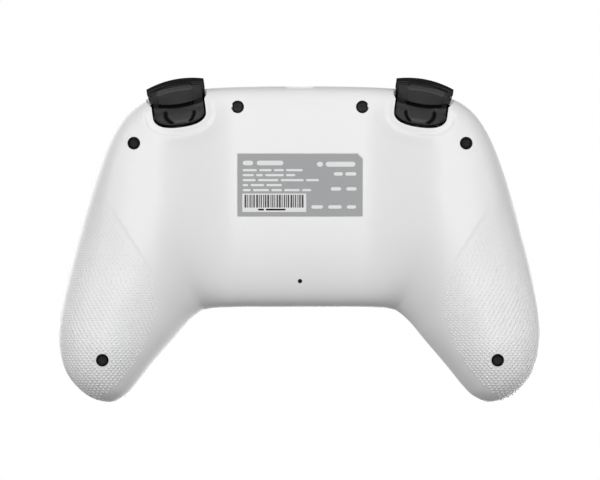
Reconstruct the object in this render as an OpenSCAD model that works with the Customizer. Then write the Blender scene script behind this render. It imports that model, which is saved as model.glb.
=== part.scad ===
// Gamepad controller lying on its back: sticks and buttons face up, the rear panel and grips face down.
// Millimetres. The origin is on the surface, under the middle of the outline; +Y runs to the triggers.

/* [Body] */
// Width across the grips
body_w = 155; // [150:1:160]
// Height from the top edge to the ends of the grips
body_h = 101.4; // [98:0.2:105]
// Height of the parting line along the top edge
part_z = 24; // [23.4:0.2:24.6]
// Fall of the parting line towards the ends of the grips
part_drop = 9; // [7:0.5:11]
// Height of the front face
face_z = 38; // [37.5:0.25:39]
// Fall of the front face towards the ends of the grips
face_drop = 13; // [11:0.5:15]
// Height of the rear panel between the grip ridges
panel_z = 8; // [7.5:0.25:8.5]
// Half width of the flat rear panel
panel_half_w = 20; // [18:0.5:21]
// Distance of the grip ridges from the middle
ridge_x = 47; // [44:0.5:50]
// Wall of both shells
wall = 2; // [1.6:0.1:2.2]
// Gap along the parting line
part_gap = 0.2; // [0.1:0.05:0.3]

/* [Case screws] */
// Radius of the recess over a screw head
screw_recess_r = 2.05; // [1.95:0.05:2.3]
// Radius of a screw head
screw_head_r = 1.75; // [1.5:0.05:1.8]
// Height of a screw head
screw_head_h = 1.6; // [1.2:0.1:2]
// Radius of a screw shank
screw_r = 1.05; // [0.9:0.05:1.2]
// Length of a screw under its head
screw_len = 12; // [9:0.5:13]
// Floor under a screw head
screw_floor = 2.4; // [1.8:0.1:3]

/* [Rear label] */
// Width of the label
label_w = 40; // [34:0.5:44]
// Height of the label
label_h = 20; // [16:0.5:22]
// Thickness of the label
label_t = 0.25; // [0.2:0.05:0.3]
// Cut corner of the label
label_cut = 1.6; // [1:0.1:3]
// Middle of the label above the origin
label_y = 17.6; // [16:0.2:19]

/* [Triggers] */
// Distance of a trigger's middle from the centre line
trigger_x = 38.6; // [38:0.1:39.2]
// Distance of the trigger pin under the top edge
trigger_back = 9.3; // [9:0.1:9.8]
// Height of the trigger pin over the parting line
trigger_up = 5; // [4.6:0.1:5.4]
// Splay of the triggers
trigger_splay = 8; // [6:0.5:10]
// Width of a trigger inside its notch
trigger_w = 16; // [15:0.2:16.4]
// Width of a trigger's lip
trigger_lip_w = 18.9; // [17.5:0.1:19.5]
// Gap between a trigger and its notch
trigger_gap = 0.6; // [0.5:0.05:0.8]
// Wall of a trigger
trigger_wall = 1.6; // [1.2:0.1:2]
// Radius of a trigger pin
trigger_pin_r = 1.25; // [1:0.05:1.5]
// Radius of a trigger spring's wire
spring_wire_r = 0.35; // [0.25:0.05:0.4]
// Pitch of a trigger spring
spring_pitch = 1.2; // [1.1:0.05:1.3]

/* [Bumpers] */
// Wall of a bumper
bumper_t = 2.2; // [1.8:0.1:2.4]
// Gap round a bumper
bumper_gap = 0.4; // [0.3:0.05:0.6]
// Room over a bumper's upper edge
bumper_room = 0.5; // [0.4:0.05:0.7]
// Room at a bumper's outer end, which slides along the edge when it's pressed
bumper_end_room = 0.7; // [0.6:0.05:0.9]
// Radius of a bumper pin
bumper_pin_r = 1; // [0.8:0.05:1.1]

/* [Sticks] */
// Distance of the outer controls from the centre line
outer_x = 38.5; // [37.5:0.5:39.5]
// Distance of the outer controls under the top edge
outer_down = 31.4; // [30.9:0.1:32.4]
// Distance of the inner controls from the centre line
inner_x = 19.5; // [18.5:0.5:20.5]
// Place of the inner controls on the way from the outer ones to the lower edge
inner_share = 0.51; // [0.5:0.005:0.54]
// Radius of the opening round a stick
stick_hole_r = 11.6; // [11.2:0.1:12]
// Radius of a stick's dome
dome_r = 12.1; // [11.9:0.1:12.4]
// Wall of a stick's dome
dome_t = 1.2; // [0.8:0.1:1.5]
// Radius of a thumb cap
cap_r = 9.3; // [8:0.1:10]
// Height of a thumb cap's top over its pivot
cap_h = 20.5; // [19:0.5:23]
// Height of a stick's pivot over the board
stick_up = 6.4; // [6.2:0.1:6.6]
// Half width of a stick housing
housing_half = 7; // [6.8:0.1:7.2]
// Radius of a stick's shaft
lever_r = 1.5; // [1.3:0.05:1.6]
// Play of a running fit, on the radius
run_play = 0.05; // [0.03:0.01:0.08]

/* [Buttons] */
// Radius of a face button
face_button_r = 5.2; // [4.6:0.1:5.4]
// Distance of a face button from the middle of its group
face_button_off = 9.8; // [9.4:0.1:10.2]
// Height of a face button over the front face
face_button_up = 2.6; // [2:0.1:3]
// Width of the flange that keeps a button in
flange_w = 1; // [0.8:0.1:1.1]
// Thickness of that flange
flange_t = 1.2; // [1:0.1:1.5]
// Gap between a button and its hole
button_gap = 0.3; // [0.2:0.05:0.4]
// Span of the direction pad
dpad_span = 22; // [20:0.5:23]
// Width of a direction pad's arm
dpad_arm = 7.6; // [7:0.2:8]
// Height of the direction pad over the front face
dpad_up = 2.8; // [2:0.1:3.2]
// Radius of the direction pad's ball
dpad_ball_r = 2; // [1.8:0.1:2.2]
// Length of a menu button
menu_len = 7; // [6:0.2:7.6]
// Width of a menu button
menu_wide = 4.2; // [3.6:0.1:4.6]
// Radius of the home button
home_r = 3.8; // [3.4:0.1:4]
// Height of the menu buttons over the front face
menu_up = 1; // [0.6:0.1:1.4]

/* [Inside] */
// Depth of the board's top under the front face
board_drop = 14.4; // [14.2:0.1:14.8]
// Thickness of the board
board_t = 1.6; // [1.2:0.1:1.8]
// Half width of the board
board_half_w = 50; // [48:0.5:50]
// Width of the battery
battery_w = 46; // [40:1:48]
// Height of the battery
battery_h = 30; // [26:1:32]
// Thickness of the battery
battery_t = 5.5; // [4:0.1:6]
// Radius of a rumble motor
motor_r = 6; // [5.4:0.1:6.4]
// Length of a rumble motor
motor_len = 13; // [11:0.5:14]
// Radius of a rumble weight
weight_r = 6.5; // [5.5:0.1:7]
// Radius of a motor shaft
shaft_r = 1; // [0.8:0.05:1.2]
// Width of the charging socket
usb_w = 8.9; // [8.8:0.05:9]
// Height of the charging socket
usb_h = 3.2; // [3.1:0.05:3.3]
// Radius of the reset pinhole
reset_r = 0.6; // [0.5:0.05:0.8]

/* [Hidden] */
$fn = 48;
far = 200;

// Outline of the right half, drawn at outline_w by outline_h. The outer points run from the top centre
// over the shoulder to the end of the grip, the inner points from the bottom centre to the same end.
// The first and last point of each list only steer the curve.
outline_w = 155;
outline_h = 101.4;
// Stretch that carries the drawn outline, and the places inside it, to the body's size
wide = body_w / outline_w;
tall = body_h / outline_h;
outer_knots = [
    [-14, 49.3], [0, 49.4], [14, 49.3], [28, 48.8], [42, 47.2], [52.5, 43.4], [59.8, 35], [66, 20],
    [71.6, 0.6], [75.4, -14.8], [77.5, -30], [75.4, -41.7], [69, -49.4], [61.6, -52], [56, -50.2]
];
inner_knots = [
    [-10, -21.5], [0, -21.5], [10, -21.5], [18, -21.5], [23, -21.6], [27, -21.8], [29.5, -22.2],
    [31.5, -23], [35.3, -26.3], [40.1, -32.1], [46.5, -39.6], [52, -46.4], [56, -50.2], [61.6, -52],
    [69, -49.4]
];
last_u = len(outer_knots) - 3;
end_u = last_u - 0.06;
// Facets along and round the skin, fine outside and coarse inside
fine = [26, 18];
coarse = [16, 12];
round_fn = 24;
edge_step = 0.05;
// Squareness of the cross section in the middle and in the grips: of its outer half, and of its inner half
// in front and behind
square_outer = [4.5, 2.3];
square_front = [7, 2.3];
square_rear = [3, 1.9];
// Share that moves the crest of the rear towards the outer edge, in the middle and in the grips
crest_mid = 0.72;
crest_grip = 0.9;
// Length over which the end of a grip rounds off
tip_round = 20;

function spline(a, b, c, d, t) =
    let (second = 2 * a - 5 * b + 4 * c - d, third = 3 * b - a - 3 * c + d)
    0.5 * (2 * b + (c - a) * t + second * t * t + third * t * t * t);
function along(knots, u) =
    let (
        i = min(floor(u), last_u - 1),
        p = spline(knots[i], knots[i + 1], knots[i + 2], knots[i + 3], u - i)
    )
    [p.x * wide, p.y * tall];
function edge(knots, turn, u, grow) =
    let (t = along(knots, min(u + edge_step, last_u)) - along(knots, max(u - edge_step, 0)))
    along(knots, u) + grow * turn * [-t.y, t.x] / norm(t);
function outer_edge(u, grow) = edge(outer_knots, 1, u, grow);
function inner_edge(u, grow) = edge(inner_knots, -1, u, grow);
function mix(a, b, t) = a + (b - a) * t;
function smooth(t) = let (c = min(1, max(0, t))) c * c * (3 - 2 * c);
function fall(y, from, drop) = drop * pow(max(0, (from - y) / (from + body_h / 2)), 1.5);
part_from = 6;
face_from = -14;
function part_height(y) = part_z - fall(y, part_from, part_drop);
function front_height(y) = face_z - fall(y, face_from, face_drop);
function rear_height(x) = panel_z * (1 - smooth((abs(x) - panel_half_w) / (ridge_x - panel_half_w)));
function squareness(u, ends) = mix(ends[0], ends[1], smooth((u - 2.5) / 5));
function crest(u) = mix(crest_mid, crest_grip, smooth((u - 5) / 3));
tip = along(outer_knots, last_u);
function tip_share(u) =
    let (
        mid = (along(outer_knots, u) + along(inner_knots, u)) / 2,
        d = min(1, norm(mid - tip) / tip_round)
    )
    sqrt(1 - (1 - d) * (1 - d));

// Point of the skin: u runs along the outline from the left grip (-) to the right one (+), a goes round
// the section from the outer edge (0) to the inner edge (180), and side is 1 in front and -1 behind.
function skin(u, a, side, grow) =
    let (
        m = abs(u),
        n = squareness(m, a <= 90 ? square_outer : side > 0 ? square_front : square_rear),
        o = outer_edge(m, grow),
        i = inner_edge(m, grow),
        w = sign(cos(a)) * pow(abs(cos(a)), 2 / n),
        rise = pow(abs(sin(a)), 2 / n) * tip_share(m),
        c = pow((1 - w) / 2, side > 0 ? 1 : 1 / crest(m)),
        p = mix(o, i, c),
        base = mix(part_height(o.y), part_height(i.y), c) + (side > 0 ? part_gap : 0),
        goal = side > 0 ? front_height(p.y) + grow : rear_height(p.x) - grow
    )
    [u < 0 ? -p.x : p.x, p.y, mix(base, goal, rise)];

// Closed solid under the skin, from the parting line; over carries it past that line
module body_solid(side, grow, over, steps) {
    ends = steps[0] - 0.5;
    sections = [for (j = [-ends:ends]) j / ends * end_u];
    lift = [0, 0, -side * over];
    rings = [
        for (u = sections)
            concat(
                over > 0 ? [skin(u, 0, side, grow) + lift] : [],
                [for (k = [0:steps[1]]) skin(u, 180 * k / steps[1], side, grow)],
                over > 0 ? [skin(u, 180, side, grow) + lift] : []
            )
    ];
    loft(rings, side > 0);
}

// Solid through a row of rings that have the same number of points
module loft(rings, turned) {
    count = len(rings[0]);
    points = [for (r = rings) each r];
    walls = [
        for (j = [0:len(rings) - 2], k = [0:count - 1])
            let (a = j * count + k, b = j * count + (k + 1) % count)
            each [[a, b, b + count], [a, b + count, a + count]]
    ];
    half = floor(count / 2);
    start = len(points) - count;
    caps = [
        for (k = [0:half - 1])
            let (m = count - 1 - k)
            each [[k, m, k + 1], [m, m - 1, k + 1], [start + k, start + k + 1, start + m],
                [start + m, start + k + 1, start + m - 1]]
    ];
    faces = [for (f = concat(walls, caps)) if (f[0] != f[1] && f[1] != f[2] && f[0] != f[2]) f];
    polyhedron(points, [for (f = faces) turned ? [f[2], f[1], f[0]] : f]);
}

module sided(side) {
    if (side > 0) children();
    else mirror([1, 0, 0]) children();
}

// Places shared by several pieces
top_y = outer_edge(0, 0).y;
board_top = face_z - board_drop;
board_low = board_top - board_t;
inner_face = face_z - wall;
seat = 0.1;
cut_over = 1.5;
// Case screws: across, up, and the height of the seat under the head
case_screw_places = [
    [20 * wide, top_y - 6.7, 12.5], [53.2 * wide, top_y - 18.4, 8], [63.3 * wide, -38.5 * tall, 8]
];
boss_r = 3.4;
post_r = 3;
board_screw_places = [[24 * wide, 30 * tall], [46 * wide, -12 * tall]];
board_post_r = 2.4;
board_screw_r = 0.9;
board_screw_len = 7;
outer_place = [outer_x * wide, top_y - outer_down];
inner_place = [inner_x * wide, mix(outer_place.y, inner_edge(0, 0).y, inner_share)];
stick_places = [[-outer_place.x, outer_place.y], inner_place];
function stick_place(side) = stick_places[side < 0 ? 0 : 1];
stick_z = board_top + stick_up;
dpad_place = [-inner_place.x, inner_place.y];
face_place = outer_place;
face_dirs = [[0, 1], [1, 0], [0, -1], [-1, 0]];
menu_places = [for (p = [[-13.5, 25], [13.5, 25], [-9, 12], [9, 12]]) [p.x * wide, p.y * tall]];
lens_y = -13.5 * tall;
lens_pitch = 5;
lens_w = 2.4;
lens_h = 1.4;
lens_count = 4;
function lens_x(k) = (k - (lens_count - 1) / 2) * lens_pitch;
trigger_place = [trigger_x * wide, top_y - trigger_back];
pivot_z = part_z + trigger_up;
reset_y = -13.2 * tall;
motor_place = [55 * wide, -22 * tall, 13];
saddle_xs = [-4.5, 4];
saddle_t = 2;
fit = 0.15;

module at_trigger(side) {
    sided(side) translate([trigger_place.x, trigger_place.y, pivot_z])
        rotate([0, 0, -trigger_splay]) children();
}

// Notch of a trigger in the shells, seen from behind; its mouth flares to let the lip in
notch_low = -4.1;
lip_from = 8.6;
lip_travel = 3;
lip_sides = [-trigger_lip_w / 2 + 0.5, trigger_lip_w / 2];
module notch_plan() {
    half = trigger_w / 2 + trigger_gap;
    corner = 3;
    hull() {
        for (x = [-1, 1]) translate([x * (half - corner), notch_low + corner + 1.2]) circle(corner);
        translate([0.8, notch_low + 6]) circle(6);
        translate([-half, 10]) square([2 * half, 10]);
    }
    for (x = lip_sides)
        let (flare = abs(x) - trigger_w / 2, from = lip_from - lip_travel - flare, out = sign(x))
        polygon([
            [0, from], [out * half, from], [out * (half + flare), lip_from - lip_travel],
            [out * (half + flare), far / 8], [0, far / 8]
        ]);
}

// Screw boss that stands on the rear wall, wider at its foot
module screw_boss(p) {
    hull() {
        translate([p.x, p.y, 0]) cylinder(r = boss_r + 0.8, h = 1);
        translate([p.x, p.y, p.z]) cylinder(r = boss_r, h = screw_floor);
    }
}

module motor_axis(side, x) {
    sided(side) translate([motor_place.x + x, motor_place.y, motor_place.z])
        rotate([0, 90, 0]) children();
}

module saddles(side) {
    for (x = saddle_xs)
        sided(side) translate([motor_place.x + x - saddle_t / 2, motor_place.y - motor_r - 1.5, 0])
            cube([saddle_t, 2 * motor_r + 3, motor_place.z]);
}

rail_t = 1.5;
battery_y = 9 * tall;
battery_z = panel_z + wall + 1.8;
module battery_rails() {
    for (x = [-1, 1])
        translate([x * (battery_w / 2 + 0.3 + rail_t / 2) - rail_t / 2, battery_y - battery_h / 3, 0])
            cube([rail_t, battery_h * 2 / 3, battery_z + battery_t]);
    for (y = [-1, 1])
        translate([-battery_w / 4, battery_y + y * (battery_h / 2 + 0.3 + rail_t / 2) - rail_t / 2, 0])
            cube([battery_w / 2, rail_t, battery_z + battery_t * 0.7]);
}

usb_z = board_top + usb_h / 2;
usb_room = 0.35;
module usb_cut() {
    translate([0, top_y + 3, usb_z]) rotate([90, 0, 0])
        linear_extrude(12) stadium(usb_w + 2 * usb_room, usb_h + 2 * usb_room);
}

module stadium(length, wide) {
    square([length - wide, wide], center = true);
    for (x = [-1, 1]) translate([x * (length - wide) / 2, 0]) circle(d = wide);
}

label_seat = panel_z + label_t + 0.1;
module label_plan(gap) {
    w = label_w / 2 + gap;
    h = label_h / 2 + gap;
    translate([0, label_y * tall])
        polygon([[-w, -h], [w, -h], [w, h], [-w + label_cut, h], [-w, h - label_cut]]);
}

module rear_shell() {
    $fn = round_fn;
    color("white") difference() {
        union() {
            difference() {
                body_solid(-1, 0, 0, fine);
                body_solid(-1, -wall, cut_over, coarse);
            }
            intersection() {
                body_solid(-1, -wall / 2, 0, coarse);
                union() {
                    for (s = [-1, 1]) {
                        for (p = case_screw_places) sided(s) screw_boss(p);
                        saddles(s);
                    }
                    battery_rails();
                }
            }
        }
        for (s = [-1, 1]) {
            for (p = case_screw_places)
                sided(s) translate([p.x, p.y, 0]) {
                    translate([0, 0, -cut_over]) cylinder(r = screw_recess_r, h = p.z + cut_over);
                    cylinder(r = screw_r + fit, h = p.z + screw_floor + cut_over);
                }
            at_trigger(s) translate([0, 0, -pivot_z - cut_over]) linear_extrude(far / 2) notch_plan();
            motor_axis(s, -motor_len) cylinder(r = motor_r + fit, h = 2 * motor_len);
        }
        translate([0, 0, -cut_over]) linear_extrude(label_seat + cut_over) label_plan(0.2);
        translate([0, reset_y, -cut_over]) cylinder(r = reset_r, h = panel_z + wall + 2 * cut_over);
        usb_cut();
    }
}

// Bumper: a stretch of the front skin between two heights, as shares of the front's rise
bumper_u = [1.62, 4.4];
bumper_rise = [0.22, 0.85];
bumper_steps_u = 14;
bumper_steps_a = 5;
function rise_angle(u, rise) = asin(pow(rise, squareness(u, square_outer) / 2));
module front_patch(us, rises, low, high) {
    rings = [
        for (j = [0:bumper_steps_u])
            let (
                u = mix(us[0], us[1], j / bumper_steps_u),
                from = rise_angle(u, rises[0]),
                to = rise_angle(u, rises[1])
            )
            concat(
                [for (k = [0:bumper_steps_a]) skin(u, mix(from, to, k / bumper_steps_a), 1, high)],
                [for (k = [0:bumper_steps_a]) skin(u, mix(to, from, k / bumper_steps_a), 1, low)]
            )
    ];
    loft(rings, true);
}
function rise_per_mm(gap) = gap / (face_z - part_z);
u_per_mm = 1 / norm(outer_edge(3, 0) - outer_edge(2, 0));
bumper_cut_u = bumper_u + [-bumper_gap, bumper_end_room] * u_per_mm;
bumper_cut_rise = bumper_rise + [-rise_per_mm(bumper_gap), rise_per_mm(bumper_room)];

// Post under the front wall for a screw that comes from behind
module screw_post(x, y, z, r) {
    hull() {
        translate([x, y, z]) cylinder(r = r, h = 1);
        translate([x, y, face_z]) cylinder(r = r + 0.6, h = 1);
    }
}

// Top of the trigger's bracket, with the plate behind its pin that the front shell's pads hold down
bracket_top = pivot_z + 5.3;
plate_t = 1.4;
plate_back = 5.6;
plate_front = 3.6;
pad_w = 5;
pad_off = 6;
module front_holes() {
    for (p = stick_places) translate([p.x, p.y, 0]) cylinder(r = stick_hole_r, h = far);
    for (d = face_dirs)
        translate([face_place.x, face_place.y, 0] + face_button_off * [d.x, d.y, 0])
            cylinder(r = face_button_r + button_gap, h = far);
    translate([dpad_place.x, dpad_place.y, 0]) linear_extrude(far) dpad_plan(dpad_tilt_room);
    for (k = [0:3])
        translate([menu_places[k].x, menu_places[k].y, 0]) linear_extrude(far) menu_plan(k, button_gap);
    for (k = [0:lens_count - 1])
        translate([lens_x(k) - lens_w / 2, lens_y - lens_h / 2, 0]) cube([lens_w, lens_h, far]);
}

module front_shell() {
    $fn = round_fn;
    color("white") difference() {
        union() {
            difference() {
                body_solid(1, 0, 0, fine);
                body_solid(1, -wall, cut_over, coarse);
            }
            intersection() {
                union() {
                    body_solid(1, -wall / 2, 0, coarse);
                    translate([-far / 2, -far / 2, 0]) cube([far, far, part_z + 1]);
                }
                for (s = [-1, 1]) {
                    for (p = case_screw_places)
                        sided(s) screw_post(p.x, p.y, p.z + screw_floor + seat, post_r);
                    for (p = board_screw_places)
                        sided(s) screw_post(p.x, p.y, board_top, board_post_r);
                    at_trigger(s) for (x = [-1, 1])
                        translate([x * pad_off - pad_w / 2, -plate_back, bracket_top - pivot_z + seat])
                            cube([pad_w, plate_back - plate_front, face_z]);
                }
            }
        }
        translate([0, 0, inner_face - 4]) front_holes();
        for (s = [-1, 1]) {
            for (p = case_screw_places)
                sided(s) translate([p.x, p.y, p.z]) cylinder(r = screw_r + run_play, h = screw_len + 1);
            for (p = board_screw_places)
                sided(s) translate([p.x, p.y, board_low])
                    cylinder(r = board_screw_r + run_play, h = board_screw_len + 1);
            sided(s) front_patch(bumper_cut_u, bumper_cut_rise, -5, 4);
            at_trigger(s) translate([0, 0, -pivot_z]) linear_extrude(part_z + 2 * wall) notch_plan();
        }
        usb_cut();
    }
}

module rear_label() {
    color("darkgray") translate([0, 0, label_seat - label_t]) linear_extrude(label_t) label_plan(0);
}

// Cross recess of a screw head, seen along Z
module cross_recess(r, depth) {
    for (t = [0, 90]) rotate(t) translate([-r * 0.7, -r * 0.16, 0]) cube([r * 1.4, r * 0.32, depth]);
}

module case_screws() {
    color("dimgray") for (s = [-1, 1], p = case_screw_places)
        sided(s) translate([p.x, p.y, p.z]) difference() {
            union() {
                translate([0, 0, -screw_head_h]) cylinder(r = screw_head_r, h = screw_head_h - 0.05);
                translate([0, 0, -0.1]) cylinder(r = screw_r, h = screw_len);
            }
            translate([0, 0, -screw_head_h - 0.5]) cross_recess(screw_head_r, 1.2);
        }
}

// Side outline of a trigger about its pin: finger face, lip, underside, skirt and cheek
hub_r = 3.4;
skirt_r = pivot_z - rear_height(trigger_place.x - trigger_w / 2 - 1) - wall - 0.4;
trigger_side = [
    [4.4, -2.6], [7.9, -5.3], [8.2, -6], [7.6, -8], [7.3, -10.5], [7.5, -13], [8.3, -15.5], [9.6, -17.8],
    [11.4, -19.7], [11.6, -20.3], [11.1, -20.9], [9, -20.9], [6.2, -20.3], [3.9, -19.4],
    [3.5, 3 - skirt_r], [2.3, 2.1 - skirt_r], [0.7, 0.9 - skirt_r], [-1.2, 0.2 - skirt_r],
    [-skirt_r * sin(8), -skirt_r * cos(8)], [-skirt_r * sin(13), -skirt_r * cos(13)],
    [-4.4, 2.4 - skirt_r], [-3.2, -12], [-hub_r, 0]
];
trigger_pocket = [
    [-3, -2], [3.4, -4.4], [5.9, -6.6], [5.6, -10.5], [5.8, -13.4], [6.7, -16.2], [7.6, -17.6],
    [5.6, -17.2], [3.6, 4.9 - skirt_r], [1.3, 3.4 - skirt_r], [-0.6, 2.2 - skirt_r],
    [-2.8, 1.6 - skirt_r], [-8, 2.2 - skirt_r], [-6, 4], [-3, 4]
];
lip_z = -17.2;
lip_arc_r = 30;
lip_peak = [-1.5, 11.6];
module trigger_sweep(outline, w) {
    translate([-w / 2, 0, 0]) rotate([90, 0, 90]) linear_extrude(w) polygon(outline);
}

module trigger(side) {
    cheek = trigger_w - 2 * trigger_wall;
    color("dimgray") at_trigger(side) difference() {
        union() {
            intersection() {
                trigger_sweep(trigger_side, far);
                translate([-trigger_w / 2, -far / 2, -far / 2]) cube([trigger_w, far, far]);
            }
            intersection() {
                trigger_sweep(trigger_side, far);
                translate([0, 0, lip_z - far]) linear_extrude(far) intersection() {
                    polygon([
                        for (x = lip_sides)
                            let (from = lip_from + trigger_w / 2 - abs(x))
                            each x < 0 ? [[x, far], [x, lip_from], [-trigger_w / 2, from]]
                                : [[trigger_w / 2, from], [x, lip_from], [x, far]]
                    ]);
                    translate(lip_peak - [0, lip_arc_r]) circle(lip_arc_r);
                }
            }
            translate([-trigger_w / 2, 0, 0]) rotate([0, 90, 0]) cylinder(r = hub_r, h = trigger_w);
        }
        trigger_sweep(trigger_pocket, cheek);
        translate([-cheek / 2, 0, 0]) rotate([0, 90, 0]) cylinder(r = hub_r + 0.4, h = cheek);
        translate([-far / 2, 0, 0]) rotate([0, 90, 0]) cylinder(r = trigger_pin_r + run_play, h = far);
    }
}

// Bracket that carries a trigger's pin between two ears, and the bumper's pin on a tab
ear_in = trigger_w / 2 + 0.5;
ear_t = 2;
ear_low = -3.4;
ear_back = 2.6;
ear_front = 2.2;
tab_t = 1.8;
bumper_pin_in = 2.4;
bumper_pin_up = 2.7;
bumper_pin_x = outer_edge(bumper_u[0], 0).x + bumper_pin_in - trigger_place.x;
bumper_pin_at = [(bumper_pin_x - bumper_pin_up * sin(trigger_splay)) / cos(trigger_splay), bumper_pin_up];
tab_half = 1.5;
module trigger_bracket(side) {
    top = bracket_top - pivot_z;
    ear = [
        [-ear_back, ear_low], [ear_front, ear_low], [ear_front, trigger_pin_r], [0.6, 2.4],
        [-plate_front, top - plate_t + 0.5], [-plate_front, top], [-plate_back, top],
        [-plate_back, top - plate_t], [-ear_back, 0.6]
    ];
    color("darkslategray") at_trigger(side) difference() {
        union() {
            for (x = [-1, 1])
                translate([x * (ear_in + ear_t / 2), 0, 0]) trigger_sweep(ear, ear_t);
            translate([-ear_in - ear_t / 2, -plate_back, top - plate_t])
                cube([2 * ear_in + ear_t, plate_back - plate_front, plate_t]);
            translate([bumper_pin_at.x, bumper_pin_at.y - tab_half, ear_low])
                cube([-bumper_pin_at.x - ear_in, 2 * tab_half - 0.1, tab_t]);
            translate([bumper_pin_at.x, bumper_pin_at.y, ear_low]) cylinder(r = tab_half, h = tab_t);
        }
        translate([-far / 2, 0, 0]) rotate([0, 90, 0]) cylinder(r = trigger_pin_r + 0.02, h = far);
        translate([bumper_pin_at.x, bumper_pin_at.y, ear_low - 1])
            cylinder(r = bumper_pin_r + 0.02, h = tab_t + 2);
    }
}

module trigger_pin(side) {
    len = 2 * (ear_in + ear_t);
    color("silver") at_trigger(side) translate([-len / 2, 0, 0]) rotate([0, 90, 0])
        cylinder(r = trigger_pin_r, h = len);
}

// Torsion spring: a coil round the pin, one leg up under the bracket and one down behind the finger face
spring_turns = 4;
spring_rings = 12;
spring_sides = 6;
spring_r = trigger_pin_r + spring_wire_r + 0.4;
function spring_path() = concat(
    [[-spring_turns * spring_pitch / 2, -spring_r, 3.1]],
    [for (k = [0:spring_turns * spring_rings])
        let (t = 180 - 360 * k / spring_rings)
        [(k / spring_rings - spring_turns / 2) * spring_pitch, spring_r * cos(t), spring_r * sin(t)]],
    [[spring_turns * spring_pitch / 2, -1.6, -4], [spring_turns * spring_pitch / 2, 4.6, -9.5]]
);
function unit(v) = v / norm(v);
function ring_at(path, k) =
    let (
        t = unit(path[min(k + 1, len(path) - 1)] - path[max(k - 1, 0)]),
        across = unit(cross(t, [1, 0.02, 0.01])),
        other = cross(t, across)
    )
    [for (q = [0:spring_sides - 1])
        let (t = 360 * q / spring_sides)
        path[k] + spring_wire_r * (across * cos(t) + other * sin(t))];
module trigger_spring(side) {
    path = spring_path();
    color("silver") at_trigger(side) loft([for (k = [0:len(path) - 1]) ring_at(path, k)], true);
}

bumper_boss_r = 1.6;
bumper_boss_low = ear_low + tab_t + 0.3;
bumper_boss_h = 5;
module bumper(side) {
    color("dimgray") difference() {
        union() {
            sided(side) front_patch(bumper_u, bumper_rise, -bumper_t, 0.3);
            at_trigger(side) translate([bumper_pin_at.x, bumper_pin_at.y, bumper_boss_low]) {
                cylinder(r = bumper_boss_r, h = bumper_boss_h);
                translate([-1.2, 0, 0]) cube([2.4, 2.6, bumper_boss_h]);
            }
        }
        at_trigger(side) translate([bumper_pin_at.x, bumper_pin_at.y, bumper_boss_low - 1])
            cylinder(r = bumper_pin_r + run_play, h = bumper_boss_h + 2);
    }
}

module bumper_pin(side) {
    color("silver") at_trigger(side) translate([bumper_pin_at.x, bumper_pin_at.y, ear_low])
        cylinder(r = bumper_pin_r, h = bumper_boss_low - ear_low + bumper_boss_h);
}

// Click switch on the outer ear of a bracket, behind the far end of the bumper
switch_size = [2.6, 2.6, 3.2];
switch_back = 3.2;
module bumper_switch(side) {
    color("black") at_trigger(side) translate([ear_in + ear_t + 0.05, -switch_back, -switch_size.z / 2]) {
        cube(switch_size);
        translate([switch_size.x / 2, switch_size.y - 0.1, switch_size.z / 2]) rotate([-90, 0, 0])
            cylinder(r = 0.8, h = 0.7);
    }
}

// Thumb stick parts, about the stick's pivot
module at_stick(side) {
    translate([stick_place(side).x, stick_place(side).y, stick_z]) children();
}

function arc(r, from, to, n) = [for (k = [0:n]) let (t = mix(from, to, k / n)) [r * sin(t), r * cos(t)]];
cap_t = 3.4;
stem_r = 4;
dome_angle = 80;
module stick_cap(side) {
    socket = cap_h - cap_t - 2;
    color("dimgray") at_stick(side) difference() {
        union() {
            rotate_extrude() difference() {
                union() {
                    intersection() {
                        circle(dome_r);
                        polygon(concat([[0, 0]], arc(2 * dome_r, 0, dome_angle, 8)));
                    }
                    square([stem_r, cap_h - 1]);
                    translate([0, cap_h - cap_t]) square([cap_r - 0.8, cap_t - 0.4]);
                    translate([0, cap_h - cap_t + 0.8]) square([cap_r, cap_t - 1.6]);
                    translate([cap_r - 2.4, cap_h - cap_t + 1]) square([1.6, cap_t - 1]);
                }
                difference() {
                    circle(dome_r - dome_t);
                    translate([0, 8]) square([stem_r, far]);
                }
                translate([-far, -far]) square([far, 2 * far]);
            }
        }
        cylinder(r = lever_r + 0.03, h = socket);
    }
}

lever_low = 5.5;
lever_tip_r = 1;
module stick_lever(side) {
    color("silver") at_stick(side) {
        translate([0, 0, -2.6]) cylinder(r = lever_r, h = cap_h - cap_t - 2 + 2.6 - 0.1);
        translate([0, 0, -lever_low]) cylinder(r = lever_tip_r, h = lever_low);
    }
}

// Hub: block that tips about Y inside the yoke and lets the shaft slide through it
hub_half = 2.5;
hub_h = 1.8;
hub_pin_r = 0.7;
yoke_in = 2.9;
yoke_t = 1;
yoke_h = 1.2;
yoke_pin_r = 0.9;
module stick_hub(side) {
    color("dimgray") at_stick(side) difference() {
        union() {
            translate([-hub_half, -hub_half, -hub_h]) cube([2 * hub_half, 2 * hub_half, 2 * hub_h]);
            rotate([90, 0, 0]) translate([0, 0, -yoke_in - yoke_t])
                cylinder(r = hub_pin_r, h = 2 * (yoke_in + yoke_t));
        }
        translate([0, 0, -hub_h - 1]) cylinder(r = lever_r + run_play, h = 2 * hub_h + 2);
    }
}

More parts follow.
